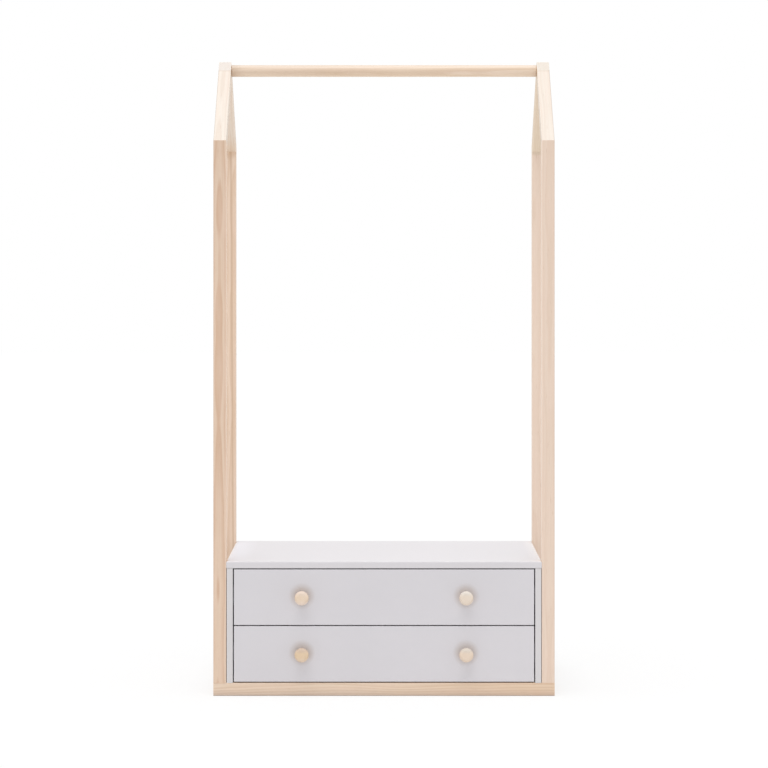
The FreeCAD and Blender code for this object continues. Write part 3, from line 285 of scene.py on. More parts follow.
# Textures over the rings, and how strongly each shows: fibres, streaks of late wood, a faint blush
# in clouds, and canals of resin
FIBRES = dict(stretch=(1, 1, 0.025), scale=1500, detail=2, rough=0.6)
FIBRE_LEVEL = (0.3, 0.7, 0.965, 1.025)
STREAKS = dict(stretch=(1, 1, 0.012), scale=230, detail=3, rough=0.55)
STREAK_SHARE = (0.48, 0.75, 0, 0.35)
CLOUDS = dict(stretch=(1, 1, 0.12), scale=55, detail=2)
CLOUD_SHARE = (0.45, 0.7, 0, 0.4)
BLUSH = from_screen(238, 206, 188)
BLUSHED = 0.5
CANALS = dict(stretch=(1, 1, 0.05), scale=620, detail=1)
CANAL_SHARE = (0.7, 0.8, 0, 0.3)
RESIN = from_screen(176, 128, 88)

# Arrises: paler all round, a painted highlight with some rubbing where the lacquer is thin; a
# stronger painted highlight on those turned towards the inside, painted shade on those turned
# outside
ARRIS = 2.5 * MM
ARRIS_SHARE = (0.3, 0.6, 0.2, 0.6)
ARRIS_LIFT = 1.06
INNER_ARRIS_SHARE = (0.05, 0.5, 0, 0.9)
INNER_ARRIS_LIFT = 1.17
OUTER_ARRIS_SHARE = (-0.05, -0.5, 0, 0.8)
OUTER_ARRIS_DIM = 0.86
PATCHY_TONE_SHARE = (0.3, 0.7, 0.8, 1)

# Veins: dark rings that run the whole length. Their core, a share of their width, is fully dark.
VEIN_BEND = dict(stretch=(0, 0, 3), scale=1, detail=2)
VEIN_SWAY = 3 * MM
VEIN_CORE = 0.25
VEIN_DIM = 0.88


class Timber:
    """A piece of pine: its grain, its tones, and how it was cut from the tree.

    heart is where the middle of the tree lies across the board, from the middle of the board, and
    lean is how far it wanders across in each metre along it. ring is the width of a growth ring and
    contrast how much the rings show. The tones laid on in places are listed as rows: a direction,
    where along it the change starts and is complete, its share there and its tone; some rows are
    painted shade and painted highlights, others a dark seam and warm or olive patches. inside is
    the factor on the tone of the face that looks towards the middle of the wardrobe, painted light
    on the posts and painted shade under the rafters; the arrises turned inward get a painted
    highlight, and those turned outward painted shade. end is the factor on the tone of the cut
    ends. veins lists dark
    rings: how far across from the middle, their lean, how wide, and how strong.
    """

    def __init__(self, grain, tones, heart, lean, ring=USUAL_RING, contrast=USUAL_CONTRAST,
                 tones_and_painted_light=(), inside=None, end=None, veins=()):
        self.grain = grain
        self.early, self.late = tones
        self.heart = heart
        self.lean = lean
        self.ring = ring
        self.contrast = contrast
        self.tones_and_painted_light = tones_and_painted_light
        self.inside = inside
        self.end = end
        self.veins = veins


def ring_position(finish, local, timber):
    """How many growth rings a point lies out from the middle of the tree."""
    sway = finish.minus(finish.noise(local, **RING_SWAY), NOISE_MIDDLE)
    wander = finish.times(sway, RING_WANDER)
    parts = finish.split(local)
    across = [
        finish.minus(finish.minus(part, middle), finish.times(parts[2], slope))
        for part, middle, slope in zip(parts, timber.heart, timber.lean)
    ]
    flat = finish.joined(across[0], across[1], 0)
    radius = finish.plus(finish.vector("LENGTH", flat).outputs["Value"], wander)
    uneven = finish.noise(finish.joined(radius, 0, 0), **RING_WIDTHS)
    rings = finish.compute("DIVIDE", radius, timber.ring)
    return finish.plus(rings, finish.times(uneven, RING_UNEVEN))


def veined(finish, local, tint, timber):
    """The dark rings that run the whole length."""
    for place, lean, width, share in timber.veins:
        bend = finish.minus(finish.noise(local, **VEIN_BEND), NOISE_MIDDLE)
        parts = finish.split(local)
        straight = finish.minus(finish.minus(parts[0], place), finish.times(parts[2], lean))
        off = finish.compute("ABSOLUTE", finish.plus(straight, finish.times(bend, VEIN_SWAY)))
        dark = finish.spread(off, width * VEIN_CORE, width, share, 0)
        tint = finish.mix(dark, tint, scaled(timber.late, VEIN_DIM))
    return tint


def turned_inward(finish, board, edge, tint, timber):
    """The face towards the middle of the wardrobe, lighter on the posts as painted light and darker
    under the rafters as painted shade, with a painted highlight on the arrises turned inward and
    painted shade on those turned outward.
    """
    inward = finish.along(finish.normal, RIGHT if board.middle.dot(RIGHT) < 0 else -RIGHT)
    facing = finish.spread(inward, *FACING_SHARE)
    tint = finish.mix(facing, tint, finish.tinted(tint, timber.inside))
    pale = finish.times(edge, finish.spread(inward, *INNER_ARRIS_SHARE))
    tint = finish.mix(pale, tint, scaled(timber.early, INNER_ARRIS_LIFT))
    outer_arris_shade = finish.times(edge, finish.spread(inward, *OUTER_ARRIS_SHARE))
    return finish.mix(outer_arris_shade, tint, scaled(timber.late, OUTER_ARRIS_DIM))


def cut_across(finish, tint, timber):
    """The ends that were cut across the grain."""
    cut = finish.compute("ABSOLUTE", finish.along(finish.normal, timber.grain))
    return finish.mix(finish.spread(cut, *FACING_SHARE), tint, finish.tinted(tint, timber.end))


def pine(name, board, timber):
    """Clear pine under matt lacquer."""
    early, late = timber.early, timber.late
    finish = Finish(name, gloss=PINE_GLOSS)
    local = board.local(finish)
    band = finish.compute("FRACT", ring_position(finish, local, timber))
    dense = finish.ramp(band, [(spot, (share, share, share, 1)) for spot, share in RING_PROFILE])
    fibres = finish.noise(local, **FIBRES)
    streaks = finish.noise(local, **STREAKS)
    clouds = finish.noise(local, **CLOUDS)
    canals = finish.noise(local, **CANALS)

    tint = finish.mix(timber.contrast, early, finish.mix(dense, early, late))
    tint = finish.mix(finish.spread(streaks, *STREAK_SHARE), tint, late)
    tint = finish.mix(finish.spread(clouds, *CLOUD_SHARE), tint, between(early, BLUSH, BLUSHED))
    tint = finish.mix(finish.spread(canals, *CANAL_SHARE), tint, RESIN)
    tint = finish.tinted(tint, finish.spread(fibres, *FIBRE_LEVEL))
    edge = board.edge(finish, local, ARRIS)
    # Painted highlight along the arrises, with some rubbing where the lacquer is thin
    edge_highlight_and_rub = finish.times(edge, finish.spread(streaks, *ARRIS_SHARE))
    tint = finish.mix(edge_highlight_and_rub, tint, scaled(early, ARRIS_LIFT))
    tint = veined(finish, local, tint, timber)
    # Tones laid on in places, in patches: painted shade and painted highlights, a dark seam and
    # local tones
    for direction, start, full, share, tone in timber.tones_and_painted_light:
        tone_share = finish.spread(finish.along(finish.point, direction), start, full, 0, share)
        tint = finish.mix(finish.times(tone_share, finish.spread(clouds, *PATCHY_TONE_SHARE)), tint, tone)
    # Painted light on inner faces and inward arrises, painted shade under the rafters and on
    # outward arrises
    if timber.inside:
        tint = turned_inward(finish, board, edge, tint, timber)
    if timber.end:
        tint = cut_across(finish, tint, timber)

    finish.colour(tint)
    finish.roughness(finish.spread(fibres, *PINE_ROUGHNESS))
    height = finish.plus(finish.times(fibres, FIBRE_HEIGHT), finish.times(dense, RING_HEIGHT))
    finish.bump(height, PINE_RELIEF, PINE_RELIEF_SHARE)
    return finish.material


# The tones of early and late wood
WARM = (from_screen(233, 207, 184), from_screen(213, 175, 146))
SUNNY = (from_screen(244, 219, 197), from_screen(226, 194, 165))
PALE = (from_screen(239, 217, 199), from_screen(229, 203, 182))
BLOND = (from_screen(243, 221, 203), from_screen(233, 208, 187))
CREAM = (from_screen(235, 224, 212), from_screen(224, 206, 190))
CREAM_BACK_LEFT = (from_screen(236, 221, 205), from_screen(225, 203, 182))
CREAM_BACK_RIGHT = (from_screen(236, 219, 197), from_screen(225, 201, 173))
RAIL = (from_screen(238, 216, 194), from_screen(216, 186, 157))
ROUND = (from_screen(241, 219, 197), from_screen(216, 186, 156))

# The tones laid on in places: painted shade near the floor, at the rail's ends and up the front
# left post, a painted sheen along the rail's top and painted bounce light under it, the dark seam
# at the ridge, and warm or olive patches near the eaves
FLOOR_SHADE_TONE = from_screen(180, 160, 150)
RAIL_SHEEN = from_screen(238, 227, 216)
RAIL_UNDER_BOUNCE = from_screen(234, 214, 189)
SHADE_BROWN = from_screen(150, 124, 100)
HONEY = from_screen(196, 152, 106)
AMBER = from_screen(222, 170, 110)
OLIVE = from_screen(184, 175, 133)
SEAM = from_screen(196, 168, 146)

# Where they lie. The eaves' mitres and the joint at the ridge are planes, measured along their
# normals.
RAIL_LOW, RAIL_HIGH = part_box("hanging_rail")
MITRE_BACK = (UP + ROOF_UP_FRONT).normalized()
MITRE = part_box("back_left_post")[1].dot(MITRE_BACK)
RIDGE_SEAM = max(
    vertex.co.dot(ROOF_UP_BACK) for vertex in nodes["front_left_rafter"].data.vertices)
# Painted shade: the base rails darken towards the floor. The front rail also turns warmer towards
# the right.
BASE_RAIL_FLOOR_SHADE = [(UP, 18 * MM, 2 * MM, 0.5, FLOOR_SHADE_TONE)]
FRONT_RAIL_SHADE_AND_AMBER = BASE_RAIL_FLOOR_SHADE + [(RIGHT, -100 * MM, 400 * MM, 0.16, AMBER)]
# Painted light on the round rail: a painted sheen along its top, painted bounce light along its
# underside, and painted shade towards its ends, most towards the left
RAIL_LIGHT_AND_SHADE = [
    (UP, RAIL_HIGH.z - 12 * MM, RAIL_HIGH.z - 4 * MM, 0.35, RAIL_SHEEN),
    (UP, RAIL_LOW.z + 9 * MM, RAIL_LOW.z, 0.5, RAIL_UNDER_BOUNCE),
    (RIGHT, RAIL_LOW.x + 32 * MM, RAIL_LOW.x, 0.28, SHADE_BROWN),
    (RIGHT, -20 * MM, -180 * MM, 0.07, SHADE_BROWN),
    (RIGHT, RAIL_HIGH.x - 18 * MM, RAIL_HIGH.x, 0.12, SHADE_BROWN),
]
# Painted shade: the front left post darkens towards its top
UPPER_POST_SHADE = [(UP, 1000 * MM, 1400 * MM, 0.06, SHADE_BROWN)]
UNDER_RIDGE = [(ROOF_UP_BACK, RIDGE_SEAM - 5 * MM, RIDGE_SEAM - 3 * MM, 0.35, SEAM)]
LEFT_EAVE = [(-MITRE_BACK, -MITRE - 55 * MM, -MITRE - 3 * MM, 0.28, AMBER)]
LEFT_EAVE_POST = [(MITRE_BACK, MITRE - 22 * MM, MITRE - 6 * MM, 0.33, HONEY)]
RIGHT_EAVE_POST = [(MITRE_BACK, MITRE - 11 * MM, MITRE - 6 * MM, 0.25, OLIVE)]
BACK_LEFT_VEIN = [(7.2 * MM, -0.006, 4 * MM, 0.7)]

# Factors on the tone of inner faces and cut ends. On inner faces they are painted light on the
# posts and painted shade under the rafters.
INNER_FACE_LIGHT = (1.08, 1.08, 1.06, 1)
LEFT_INNER_FACE_LIGHT = (1.15, 1.15, 1.13, 1)
UNDER_ROOF_SHADE = (0.98, 0.94, 0.88, 1)
LEFT_END = (0.94, 1.01, 1.11, 1)
RIGHT_END = (0.94, 1.03, 1.17, 1)

TIMBERS = {
    "front_left_post": Timber(
        UP, WARM, (-3 * MM, 9 * MM), (0.004, 0.006),
        tones_and_painted_light=UPPER_POST_SHADE, inside=LEFT_INNER_FACE_LIGHT),
    "back_left_post": Timber(
        UP, SUNNY, (14 * MM, 24 * MM), (0.002, 0.004), ring=6 * MM,
        tones_and_painted_light=LEFT_EAVE_POST, veins=BACK_LEFT_VEIN),
    "front_right_post": Timber(
        UP, PALE, (4 * MM, 12 * MM), (0.003, -0.004), contrast=0.5,
        inside=INNER_FACE_LIGHT),
    "back_right_post": Timber(
        UP, BLOND, (-12 * MM, 20 * MM), (0.002, 0.003), contrast=0.5,
        tones_and_painted_light=RIGHT_EAVE_POST),
    "front_left_rafter": Timber(
        ROOF_UP_BACK, CREAM, (-4 * MM, 10 * MM), (0.01, 0.012), contrast=0.6,
        tones_and_painted_light=UNDER_RIDGE, inside=UNDER_ROOF_SHADE),
    "back_left_rafter": Timber(
        ROOF_UP_FRONT, CREAM_BACK_LEFT, (6 * MM, -12 * MM), (0.01, 0.01), contrast=0.6,
        tones_and_painted_light=LEFT_EAVE, inside=UNDER_ROOF_SHADE, end=LEFT_END),
    "front_right_rafter": Timber(
        ROOF_UP_BACK, CREAM, (5 * MM, 12 * MM), (-0.01, 0.012), contrast=0.6,
        tones_and_painted_light=UNDER_RIDGE, inside=UNDER_ROOF_SHADE),
    "back_right_rafter": Timber(
        ROOF_UP_FRONT, CREAM_BACK_RIGHT, (-4 * MM, -14 * MM), (0.01, 0.008), contrast=0.6,
        inside=UNDER_ROOF_SHADE, end=RIGHT_END),
    "front_base_rail": Timber(
        RIGHT, RAIL, (24 * MM, 22 * MM), (0.004, 0.003), ring=3.6 * MM, contrast=0.65,
        tones_and_painted_light=FRONT_RAIL_SHADE_AND_AMBER),
    "back_base_rail": Timber(
        RIGHT, RAIL, (-12 * MM, 5 * MM), (0.005, 0.003),
        tones_and_painted_light=BASE_RAIL_FLOOR_SHADE),
    "left_base_rail": Timber(
        BACK, WARM, (12 * MM, 4 * MM), (0.01, 0.006),
        tones_and_painted_light=BASE_RAIL_FLOOR_SHADE),
    "right_base_rail": Timber(
        BACK, PALE, (-14 * MM, 2 * MM), (0.01, 0.004),
        tones_and_painted_light=BASE_RAIL_FLOOR_SHADE),
    "hanging_rail": Timber(
        RIGHT, ROUND, (9 * MM, 6 * MM), (0.008, 0.003), contrast=0.6,
        tones_and_painted_light=RAIL_LIGHT_AND_SHADE),
}


def paint_timbers():
    for name, timber in TIMBERS.items():
        dress(name, pine(f"pine_{name}", Board(nodes[name], timber.grain), timber))


# White lacquer

LACQUER = from_screen(222, 219, 222)
# The upright drawer fronts and cabinet sides use a slightly darker copy of the same lacquer, as
# painted shade
SHADED_FRONT_LACQUER = from_screen(220, 217, 221)
SHADED_SIDE_LACQUER = from_screen(220, 217, 218)
LACQUER_GLOSS = 0.42
LACQUER_CLOUDS = dict(scale=4.5, detail=3)
LACQUER_CLOUD_SHARE = (0.35, 0.65)
LACQUER_DIM, LACQUER_BRIGHT = 0.985, 1.012
LACQUER_ROUGHNESS = (0.3, 0.7, 0.4, 0.47)
MOTTLE = dict(scale=60, detail=2)
MOTTLE_SHARE = (0.4, 0.6, 0, 0.3)
MOTTLE_DIM = 0.99
ORANGE_PEEL = dict(scale=420, detail=2)
ORANGE_PEEL_RELIEF = 0.06 * MM
ORANGE_PEEL_SHARE = 0.35

# Edges paler: a painted highlight, with some rubbing of the lacquer
LACQUER_EDGE = 1.6 * MM
LACQUER_EDGE_SHARE = (0.42, 0.62, 0.1, 0.7)
LACQUER_EDGE_LIFT = 1.06

# Painted light: the top board's upper face is lighter beside the posts, with a painted highlight
# along its rounded ends
TOP_RIM_HIGHLIGHT = from_screen(237, 231, 228)
TOP_PAINTED_LIGHT = [
    (-RIGHT, 350 * MM, 412 * MM, 1, from_screen(232, 230, 236)),
    (RIGHT, 385 * MM, 414 * MM, 1, from_screen(233, 229, 230)),
    (-RIGHT, 410 * MM, 412.5 * MM, 1, TOP_RIM_HIGHLIGHT),
    (RIGHT, 410 * MM, 412.5 * MM, 1, TOP_RIM_HIGHLIGHT),
]
LEVEL_FACE_SHARE = (0.5, 0.9)

# Round the knobs a darker, warmer halo is painted shade; in patches further out, hands leave a
# smoother surface
HALO_RISE = 3 * MM
HALO_SHADE_FACTORS = (0.84, 0.79, 0.735)
HALO_SHADE_REACH = (24 * MM, 38 * MM, 1, 0)
HALO_AND_TOUCH_PATCHES = dict(scale=45, detail=3)
HALO_PATCH_SHARE = (0.3, 0.7, 0.8, 1)
TOUCH_REACH = (25 * MM, 75 * MM, 1, 0)
TOUCH_SMOOTHS = 0.16

# Painted shade in the joint between the cabinet's top and its sides
JOINT_SHADE = from_screen(120, 112, 106)
JOINT_SHADE_SHARE = (0.5 * MM, 3 * MM, 0.25, 0)
JOINT_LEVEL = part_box("cabinet_right_side")[1].z
JOINT_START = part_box("cabinet_right_side")[0].x


def joint_shaded(finish, tint):
    """The tone with painted shade in the joint under the top, above the cabinet's sides."""
    height = finish.minus(finish.along(finish.point, UP), JOINT_LEVEL)
    off = finish.compute("ABSOLUTE", height)
    aside = finish.compute("ABSOLUTE", finish.along(finish.point, RIGHT))
    over_side = finish.compute("GREATER_THAN", aside, JOINT_START)
    return finish.mix(finish.times(over_side, finish.spread(off, *JOINT_SHADE_SHARE)), tint,
                      JOINT_SHADE)


def white_lacquer(name, board, base, handled=(), jointed=False, tones_and_painted_light=()):
    """Sprayed satin lacquer.

    handled lists the knobs' points, in the board's own axes: round each a darker, warmer halo is
    painted shade, and touch smooths the surface further out. The list of laid-on tones has rows as
    a timber's has; here they are painted light, and they count on level faces only.
    """
    finish = Finish(name, gloss=LACQUER_GLOSS)
    local = board.local(finish)
    cloud = finish.noise(finish.point, **LACQUER_CLOUDS)
    mottle = finish.noise(finish.point, **MOTTLE)
    tint = finish.mix(finish.spread(cloud, *LACQUER_CLOUD_SHARE), scaled(base, LACQUER_DIM),
                      scaled(base, LACQUER_BRIGHT))
    tint = finish.mix(finish.spread(mottle, *MOTTLE_SHARE), tint, scaled(base, MOTTLE_DIM))
    edge = board.edge(finish, local, LACQUER_EDGE)
    # Painted highlight along the edges, with some rubbing
    edge_highlight_and_rub = finish.times(edge, finish.spread(mottle, *LACQUER_EDGE_SHARE))
    tint = finish.mix(edge_highlight_and_rub, tint, scaled(base, LACQUER_EDGE_LIFT))
    # Painted light on level faces: the top board lighter beside the posts, with a painted highlight
    # along its ends
    for direction, start, full, share, tone in tones_and_painted_light:
        level = finish.spread(finish.along(finish.normal, UP), *LEVEL_FACE_SHARE)
        tone_share = finish.spread(finish.along(finish.point, direction), start, full, 0, share)
        tint = finish.mix(finish.times(tone_share, level), tint, tone)
    matt = finish.spread(cloud, *LACQUER_ROUGHNESS)
    halo_shade = tuple(factor * channel for factor, channel in zip(HALO_SHADE_FACTORS, base)) + (1,)
    for spot in handled:
        away = finish.vector("DISTANCE", local, spot).outputs["Value"]
        patches = finish.noise(finish.point, **HALO_AND_TOUCH_PATCHES)
        touched = finish.times(finish.spread(away, *TOUCH_REACH), patches)
        matt = finish.minus(matt, finish.times(touched, TOUCH_SMOOTHS))
        # Painted shade: a darker, warmer halo round each knob
        near = finish.spread(away, *HALO_SHADE_REACH)
        patchy = finish.times(near, finish.spread(patches, *HALO_PATCH_SHARE))
        tint = finish.mix(patchy, tint, halo_shade)
    # Painted shade in the joint under the top
    if jointed:
        tint = joint_shaded(finish, tint)
    finish.colour(tint)
    finish.roughness(matt)
    finish.bump(finish.noise(finish.point, **ORANGE_PEEL), ORANGE_PEEL_RELIEF, ORANGE_PEEL_SHARE)
    return finish.material


def paint_lacquer():
    for name, base, tones_and_painted_light in (
            ("cabinet_left_side", SHADED_SIDE_LACQUER, ()), ("cabinet_right_side", SHADED_SIDE_LACQUER, ()),
            ("cabinet_top", LACQUER, TOP_PAINTED_LIGHT), ("cabinet_bottom", LACQUER, ())):
        board = Board(nodes[name], UP)
        dress(name, white_lacquer(f"lacquer_{name}", board, base, jointed=True, tones_and_painted_light=tones_and_painted_light))
    for level in LEVELS:
        name = f"{level}_drawer_front"
        board = Board(nodes[name], UP)
        spots = []
        for side in ("left", "right"):
            low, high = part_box(f"{level}_{side}_knob")
            knob = (low + high) / 2 + HALO_RISE * UP
            spots.append(Vector([knob.dot(axis) for axis in board.axes]) - board.middle)
        dress(name, white_lacquer(f"lacquer_{name}", board, SHADED_FRONT_LACQUER, handled=spots))


# Boards inside the drawers and behind them

LAMINATE = from_screen(226, 223, 223)
HARDBOARD = from_screen(221, 218, 219)
LAMINATE_GLOSS = 0.4
LAMINATE_RELIEF = 0.08 * MM
HARDBOARD_RELIEF = 0.15 * MM
PORES = dict(scale=320, detail=3, rough=0.6)
PORE_SHARE = (0.5, 0.72, 0, 0.35)
PORE_DIM = 0.93
PORE_ROUGHNESS = (0.3, 0.7, 0.45, 0.6)
PORE_RELIEF_SHARE = 0.4
BOARD_CLOUDS = dict(scale=7, detail=2)
BOARD_CLOUD_SHARE = (0.35, 0.65)
BOARD_CLOUD_DIM = 0.98
PORES_ALONG_Y = (1, 0.08, 1)
PORES_ALONG_X = (0.08, 1, 1)
PORES_ROUND = (1, 1, 1)


def laminate(name, base, stretch, relief):
    """White foil or paint over a pressed board, with the faint relief of its surface."""
    finish = Finish(name, gloss=LAMINATE_GLOSS)
    pores = finish.noise(finish.point, stretch=stretch, **PORES)
    cloud = finish.noise(finish.point, **BOARD_CLOUDS)
    tint = finish.mix(finish.spread(cloud, *BOARD_CLOUD_SHARE), scaled(base, BOARD_CLOUD_DIM), base)
    finish.colour(finish.mix(finish.spread(pores, *PORE_SHARE), tint, scaled(base, PORE_DIM)))
    finish.roughness(finish.spread(pores, *PORE_ROUGHNESS))
    finish.bump(pores, relief, PORE_RELIEF_SHARE)
    return finish.material


def paint_boards():
    board = laminate("drawer_laminate", LAMINATE, PORES_ALONG_Y, LAMINATE_RELIEF)
    cross = laminate("drawer_laminate_cross", LAMINATE, PORES_ALONG_X, LAMINATE_RELIEF)
    panel = laminate("painted_hardboard", HARDBOARD, PORES_ROUND, HARDBOARD_RELIEF)
    dress("cabinet_back", panel)
    for level in LEVELS:
        dress(f"{level}_drawer_left_side", board)
        dress(f"{level}_drawer_right_side", board)
        dress(f"{level}_drawer_back", cross)
        dress(f"{level}_drawer_bottom", panel)


# Turned wood

# Early and late wood of each knob, and the factors on the tone of its upper and lower rims: the
# upper rims darker and cooler as painted shade, the lower ones of the left knobs cooler and lighter
KNOBS = {
    "upper_left_knob": (from_screen(241, 221, 200), from_screen(224, 196, 166),
                        (0.955, 0.99, 1.08, 1), (1.01, 1.05, 1.16, 1)),
    "upper_right_knob": (from_screen(240, 226, 211), from_screen(226, 205, 184),
                         (0.92, 0.99, 1.06, 1), (1, 1, 1, 1)),
    "lower_left_knob": (from_screen(236, 212, 182), from_screen(218, 186, 148),
                        (0.84, 0.86, 0.98, 1), (1.01, 1.05, 1.18, 1)),
    "lower_right_knob": (from_screen(240, 222, 204), from_screen(224, 199, 174),
                         (0.87, 0.95, 1.03, 1), (1, 1, 1, 1)),
}
KNOB_GLOSS = 0.4
KNOB_ROUGHNESS = (0.3, 0.7, 0.42, 0.56)
KNOB_RELIEF = 0.05 * MM
KNOB_RELIEF_SHARE = 0.4
KNOB_HEART = (12 * MM, 0, -20 * MM)
KNOB_RING = 2.2 * MM
KNOB_RING_SWAY = dict(scale=60, detail=2)
KNOB_RING_BEND = 2 * MM
KNOB_RING_PROFILE = [(0.0, 0.0), (0.6, 0.4), (0.85, 1.0), (1.0, 0.0)]
KNOB_DRIFT = dict(scale=45, detail=2)
KNOB_DRIFT_SHARE = (0.4, 0.65, 0, 0.45)
KNOB_FIBRES = dict(stretch=(1, 0.05, 1), scale=1800, detail=2)
KNOB_FIBRE_SHARE = (0.5, 0.75, 0, 0.25)
TOOL_MARKS = dict(stretch=(0, 1, 0), scale=1400, detail=1)
RIM_REACH = (5 * MM, 14 * MM)


def turned_wood(name, centre, early, late, upper, lower):
    """Wood turned with its grain along y, so that the growth rings cross its face as arcs."""
    finish = Finish(name, gloss=KNOB_GLOSS)
    local = finish.vector("SUBTRACT", finish.point, centre).outputs[0]
    heart = finish.vector("SUBTRACT", local, KNOB_HEART).outputs[0]
    flat = finish.vector("MULTIPLY", heart, RIGHT + UP).outputs[0]
    radius = finish.vector("LENGTH", flat).outputs["Value"]
    sway = finish.times(finish.noise(local, **KNOB_RING_SWAY), KNOB_RING_BEND)
    band = finish.compute("FRACT", finish.compute("DIVIDE", finish.plus(radius, sway), KNOB_RING))
    grown = finish.ramp(band, [(spot, between(early, late, share))
                               for spot, share in KNOB_RING_PROFILE])
    fibres = finish.noise(local, **KNOB_FIBRES)
    tool_marks = finish.noise(local, **TOOL_MARKS)
    drift = finish.noise(local, **KNOB_DRIFT)
    tint = finish.mix(finish.spread(drift, *KNOB_DRIFT_SHARE), grown, early)
    tint = finish.mix(finish.spread(fibres, *KNOB_FIBRE_SHARE), tint, late)
    # Painted shade on the upper rim; the lower rim cooler and lighter
    above = finish.spread(finish.along(local, UP), *RIM_REACH)
    below = finish.spread(finish.along(local, -UP), *RIM_REACH)
    rimmed = finish.mix(below, tint, finish.tinted(tint, lower))
    finish.colour(finish.mix(above, rimmed, finish.tinted(tint, upper)))
    finish.roughness(finish.spread(fibres, *KNOB_ROUGHNESS))
    finish.bump(finish.plus(tool_marks, fibres), KNOB_RELIEF, KNOB_RELIEF_SHARE)
    return finish.material


def paint_knobs():
    for name, (early, late, upper, lower) in KNOBS.items():
        low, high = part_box(name)
        dress(name, turned_wood(f"wood_{name}", (low + high) / 2, early, late, upper, lower))


# Beech dowels

BEECH = from_screen(214, 180, 142)
BEECH_GLOSS = 0.35
BEECH_DIM, BEECH_BRIGHT = 0.9, 1.08
BEECH_CLOUDS = dict(scale=130, detail=2)
BEECH_CLOUD_SHARE = (0.35, 0.65)
FLECKS = dict(scale=1100, detail=2)
FLECK_SHARE = (0.55, 0.75, 0, 0.5)
FLECK_DIM = 0.7
FLECK_ROUGHNESS = (0.3, 0.7, 0.55, 0.7)
FLECK_RELIEF = 0.08 * MM
FLECK_RELIEF_SHARE = 0.5


def beech():
    finish = Finish("beech", gloss=BEECH_GLOSS)
    flecks = finish.noise(finish.point, **FLECKS)
    cloud = finish.noise(finish.point, **BEECH_CLOUDS)
    tint = finish.mix(finish.spread(cloud, *BEECH_CLOUD_SHARE), scaled(BEECH, BEECH_DIM),
                      scaled(BEECH, BEECH_BRIGHT))
    finish.colour(finish.mix(finish.spread(flecks, *FLECK_SHARE), tint, scaled(BEECH, FLECK_DIM)))
    finish.roughness(finish.spread(flecks, *FLECK_ROUGHNESS))
    finish.bump(flecks, FLECK_RELIEF, FLECK_RELIEF_SHARE)
    return finish.material


# Metal: the tone, the least roughness and the relief of each kind

METALS = {
    "zinc_plated_steel": (from_screen(196, 197, 199), 0.24, 0.02 * MM),
    "runner_steel": (from_screen(190, 193, 196), 0.3, 0.03 * MM),
    "cage_steel": (from_screen(168, 168, 166), 0.34, 0.03 * MM),
    "cast_zinc": (from_screen(170, 170, 172), 0.45, 0.12 * MM),
    "ball_steel": (from_screen(206, 207, 208), 0.12, 0.01 * MM),
}
METAL_CLOUDS = dict(scale=55, detail=3)
METAL_CLOUD_SHARE = (0.35, 0.65)
METAL_CLOUD_DIM = 0.86
METAL_DULL_SHARE = (0.3, 0.7)
METAL_DULLED = 0.14
SCRATCHES = dict(stretch=(1, 0.03, 1), scale=2200, detail=2)
SCRATCH_SHARE = (0.55, 0.75, 0, 0.3)
SCRATCH_LIFT = 1.12
SCRATCH_RELIEF_SHARE = 0.35


def metal(name):
    """Zinc-plated or cast metal: cloudy, faintly scratched, duller where it was handled."""
    base, rough, relief = METALS[name]
    finish = Finish(name, metal=1)
    cloud = finish.noise(finish.point, **METAL_CLOUDS)
    scratches = finish.noise(finish.point, **SCRATCHES)
    tint = finish.mix(finish.spread(cloud, *METAL_CLOUD_SHARE), scaled(base, METAL_CLOUD_DIM), base)
    scratched = finish.spread(scratches, *SCRATCH_SHARE)
    finish.colour(finish.mix(scratched, tint, scaled(base, SCRATCH_LIFT)))
    finish.roughness(finish.spread(cloud, *METAL_DULL_SHARE, rough, rough + METAL_DULLED))
    finish.bump(scratches, relief, SCRATCH_RELIEF_SHARE)
    return finish.material


def paint_fittings():
    finishes = {
        "zinc_steel": metal("zinc_plated_steel"),
        "runner_steel": metal("runner_steel"),
        "cage_steel": metal("cage_steel"),
        "cast_zinc": metal("cast_zinc"),
        "beech": beech(),
    }
    for piece in frame["record"]["subparts"]:
        if piece["material_slot"] in finishes:
            dress(piece["node"], finishes[piece["material_slot"]])
    cage_finishes = (finishes["cage_steel"], metal("ball_steel"))
    for level in LEVELS:
        for kind in ("outer", "inner"):
            make_cages(level, kind, cage_finishes)


# Ball cages of the runners

CAGE_SHEET = 0.4 * MM
BALL = 3.5 * MM
BALL_PITCH = 9.6 * MM
BALL_HOLE = 3 * MM
BALL_SUBDIVISIONS = 2
WINDOWS = 6
WINDOW_SHARE = 0.62
QUARTER_STEPS = 6
SAME_POINT = 0.01 * MM


def oblong(middle_x, middle_y, half_width, half_length):
    """The outline of a window with round ends, or of a round hole where both halves are equal."""
    radius = min(half_width, half_length)
    outline = []
    for corner, (side, end) in enumerate(((1, 1), (-1, 1), (-1, -1), (1, -1))):
        for step in range(QUARTER_STEPS):
            turn = QUARTER_TURN * (corner + step / QUARTER_STEPS)
            outline.append((middle_x + side * (half_width - radius) + radius * math.cos(turn),
                            middle_y + end * (half_length - radius) + radius * math.sin(turn)))
    return outline


def pierced_strip(width, length, windows):
    """A thin strip on the plane of x and y with windows cut through it."""
    curve = bpy.data.curves.new("strip", "CURVE")
    curve.dimensions = "2D"
    curve.fill_mode = "BOTH"
    curve.extrude = CAGE_SHEET / 2
    for outline in [[(0, 0), (width, 0), (width, length), (0, length)]] + windows:
        spline = curve.splines.new("POLY")
        spline.points.add(len(outline) - 1)
        for point, (x, y) in zip(spline.points, outline):
            point.co = (x, y, 0, 1)
        spline.use_cyclic_u = True
    holder = bpy.data.objects.new("strip", curve)
    mesh = bpy.data.meshes.new_from_object(holder)
    bpy.data.objects.remove(holder)
    bpy.data.curves.remove(curve)
    return mesh


